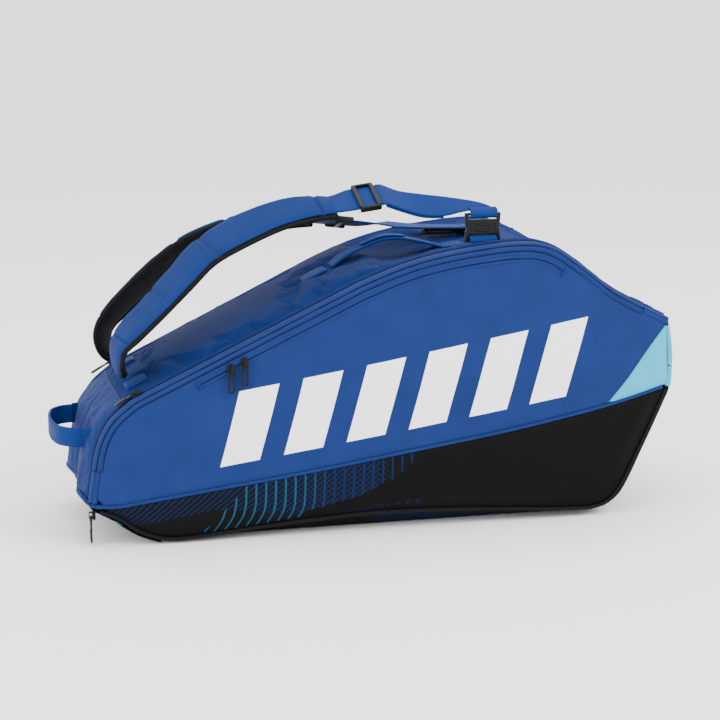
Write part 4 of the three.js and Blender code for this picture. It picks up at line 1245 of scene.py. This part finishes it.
def make_snap_hook():
    outer = [(-22, -3), (-20, -8.5), (-13, -11), (12, -11), (20, -8), (22.5, -3.2), (29, -3.2),
             (29, 3.2), (22.5, 3.2), (20, 8), (13.4, 11), (13.4, 5.6), (16.2, 3.4), (16.2, -3.4),
             (12, -6), (-12, -6), (-16.6, -3.4), (-16.6, 3.4), (-12, 5.8), (-9.6, 6.2), (-9.6, 11),
             (-14, 11), (-20.5, 8), (-22, 3)]
    hook = join_parts([plate(outline_of(outer, 150), [], 5, 1.3),
                       plate(rounded(7, 9, 2.0), [], 6, 1.4, (26, 0, 0))])
    gate = plate(rounded(21, 3.6, 1.4), [], 4, 1.0, (2, 8.8, 0))
    bar = plate(rounded(12, 42, 3.0), [rounded(5, 34, 1.5)], 5, 1.4, (36, -2.6, 0))
    place = placement((124, 50, 345.2), (1, 0, 0), (0, 1, 0))
    add_hardware("strap_snap_hook", hook, place, PLASTIC, "rear_snap_hook", ("rear_snap_hook",))
    add_hardware("snap_hook_gate", gate, place, METAL, "rear_hook_gate", ("rear_hook_gate",))
    add_hardware("strap_hook_bar", bar, place, PLASTIC, "bag", ("rear_hook_bar",))


make_sliders()
make_ladder_lock("front", FRONT_WEB_INNER, FRONT_WEB_OUTER, 4)
make_ladder_lock("rear", REAR_WEB_INNER, REAR_WEB_OUTER, 2)
make_buckle()
make_snap_hook()


# ---- pocket and inside ------------------------------------------------------
def make_pocket():
    """The pocket zip under the front's top seam: two welts, a coil and sewn end bars."""
    ends = TOP.t_at(-222), TOP.t_at(240)
    for name, low, high, out, material, replaces in (
            ("upper_welt", -8.7, -4.4, 2.2, BLUE, ()),
            ("tape", -11.4, -6.6, 0.9, TAPE, ("pocket_zip_tape",)),
            ("lower_welt", -13.8, -9.3, 2.2, BLUE, ())):
        plane = between(rail(TOP, *ends, low, 160), rail(TOP, *ends, high, 160), 9)
        dome = out * (1 - np.linspace(-1, 1, 9)[None] ** 2) ** 0.5
        y = wall_y(-1, plane[..., 0], plane[..., 1]) - dome * 0.9
        add_skin(f"pocket_{name}", np.stack([plane[..., 0], y, plane[..., 1]], -1), 0.9, material,
                 outward=-1, body="front_flap", replaces=replaces)
    add_coil("pocket_coil", on_wall(-1, rail(TOP, *ends, -9.0, 300), 1.4), "front_flap")
    for name, t in zip(("low", "tall"), ends):
        bar = TOP.offset(np.full(12, t), np.linspace(-14.2, -4.0, 12))
        add_tube(f"pocket_{name}_end_bar", on_wall(-1, bar, 1.6), 2.0, BLUE, squash=1.6,
                 body="front_flap")


def quilt(x, z, pitch=46.0, depth=1.5):
    """How far sewn channels, crossing on the slant, pull a padded sheet in."""
    return depth * sum(np.exp(-(np.sin(np.pi * (x + turn * z) / pitch) / 0.13) ** 2)
                       for turn in (0.9, -0.9))


def arch(rows, columns):
    """1 in the middle of a grid, 0 at its rim."""
    return (np.sin(np.linspace(0, np.pi, rows))[:, None]
            * np.sin(np.linspace(0, np.pi, columns))[None])


def make_divider():
    """The quilted pad between the two racket bays, with a bound edge."""
    low = rail(BASE, BASE.t_at(-308), BASE.t_at(298), 8.2, 150)
    low[:, 1] = np.maximum(low[:, 1], 10.6)
    high = rail(TOP, TOP.t_at(-326), TOP.t_at(338), -13.2, 150)
    plane = between(low, high, 70)
    x, z = plane[..., 0], plane[..., 1]
    half = 0.7 + 1.8 * np.clip(arch(150, 70) * 12, 0, 1) ** 0.5
    half = half - np.minimum(quilt(x, z), half - 0.6)
    front, back = (np.stack([x, side * half, z], -1) for side in (-1, 1))
    pad = add_mesh("quilted_divider", np.vstack([front.reshape(-1, 3), back.reshape(-1, 3)]),
                   skin_faces(*x.shape), LINING, uv=np.tile(plane.reshape(-1, 2) * MM, (2, 1)),
                   replaces=("centre_divider",))
    edge = np.stack([high[:, 0], 0 * high[:, 0], high[:, 1]], -1)
    add_tube("divider_binding", edge, 2.0, BLACK, slot="lining")


def make_pocket_lining():
    """The soft bag of lining behind the front flap's outer pocket."""
    fold = FOLD_HIGH - FOLD_LOW
    low = FOLD_LOW + np.linspace(0.06, 0.92, 110)[:, None] * fold + (0, 12.6)
    high = rail(TOP, TOP.t_at(-316), TOP.t_at(320), -13.0, 110)
    plane = between(low, high, 50)
    x, z = plane[..., 0], plane[..., 1]
    grid = np.stack([x, wall_y(-1, x, z, -SKIN - 3.2), z], -1)
    grid[..., 1] += ripple(grid, 34, 31.0) * 0.6 * arch(110, 50)
    cloth = add_skin("pocket_lining_fabric", grid, 1.0, LINING, outward=-1, body="front_flap",
                     replaces=("pocket_lining",))


def finish_base_board():
    """The stiff board keeps its frame shape, with softened edges and a real surface."""
    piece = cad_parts["base_board"]
    piece.data.materials.clear()
    piece.data.materials.append(BOARD)
    weld = piece.modifiers.new("weld", "WELD")
    weld.merge_threshold = 0.00001
    bevel = piece.modifiers.new("bevel", "BEVEL")
    bevel.width = 0.0006
    bevel.segments = 2


make_pocket()
make_divider()
make_pocket_lining()
finish_base_board()


# ---- floor, light and camera ------------------------------------------------
LAMPS = (("key", (1.9, -2.2, 2.6), 1.6, 90), ("fill", (-2.6, -1.6, 1.3), 1.8, 44),
         ("top", (0.3, 0.6, 2.8), 2.4, 34))
LAMP_AIM = Vector((0, 0, 0.2))


def link(holder, place, direction):
    """Puts a lamp or the camera in its place, facing along a direction."""
    holder.location = place
    holder.rotation_mode = "QUATERNION"
    holder.rotation_quaternion = direction.to_track_quat("-Z", "Y")
    bpy.context.scene.collection.objects.link(holder)


def make_studio():
    shader = Shader("studio floor", 0.9, specular=0.1)
    shader.raise_by(shader.noise(8.0), 0.00002)
    pale = shader.mix(shader.noise(2.0), (0.95, 0.95, 0.95, 1), (0.97, 0.97, 0.97, 1))
    mesh = bpy.data.meshes.new("floor")
    mesh.from_pydata([(x, y, -0.0005) for x, y in ((-6, -6), (6, -6), (6, 6), (-6, 6))], [],
                     [(0, 1, 2, 3)])
    mesh.materials.append(shader.done(pale))
    floor = bpy.data.objects.new("floor", mesh)
    bpy.context.scene.collection.objects.link(floor)
    world = bpy.data.worlds.new("studio")
    world.use_nodes = True
    background = world.node_tree.nodes["Background"]
    background.inputs["Color"].default_value = (1, 1, 1, 1)
    background.inputs["Strength"].default_value = 2.0
    bpy.context.scene.world = world
    for name, place, size, power in LAMPS:
        light = bpy.data.lights.new(name, "AREA")
        light.size = size
        light.energy = power
        link(bpy.data.objects.new(name, light), place, LAMP_AIM - Vector(place))


def make_camera():
    azimuth, elevation, distance = math.radians(-13.86), math.radians(12.2), 2.43
    back = Vector((math.sin(azimuth) * math.cos(elevation),
                   -math.cos(azimuth) * math.cos(elevation), math.sin(elevation)))
    camera = bpy.data.cameras.new("camera")
    camera.lens = 95
    camera.sensor_width = 36
    camera.shift_y = 15 / 720
    holder = bpy.data.objects.new("camera", camera)
    link(holder, Vector((0.0134, 0, 0.1705)) + back * distance, -back)
    bpy.context.scene.camera = holder


make_studio()
make_camera()
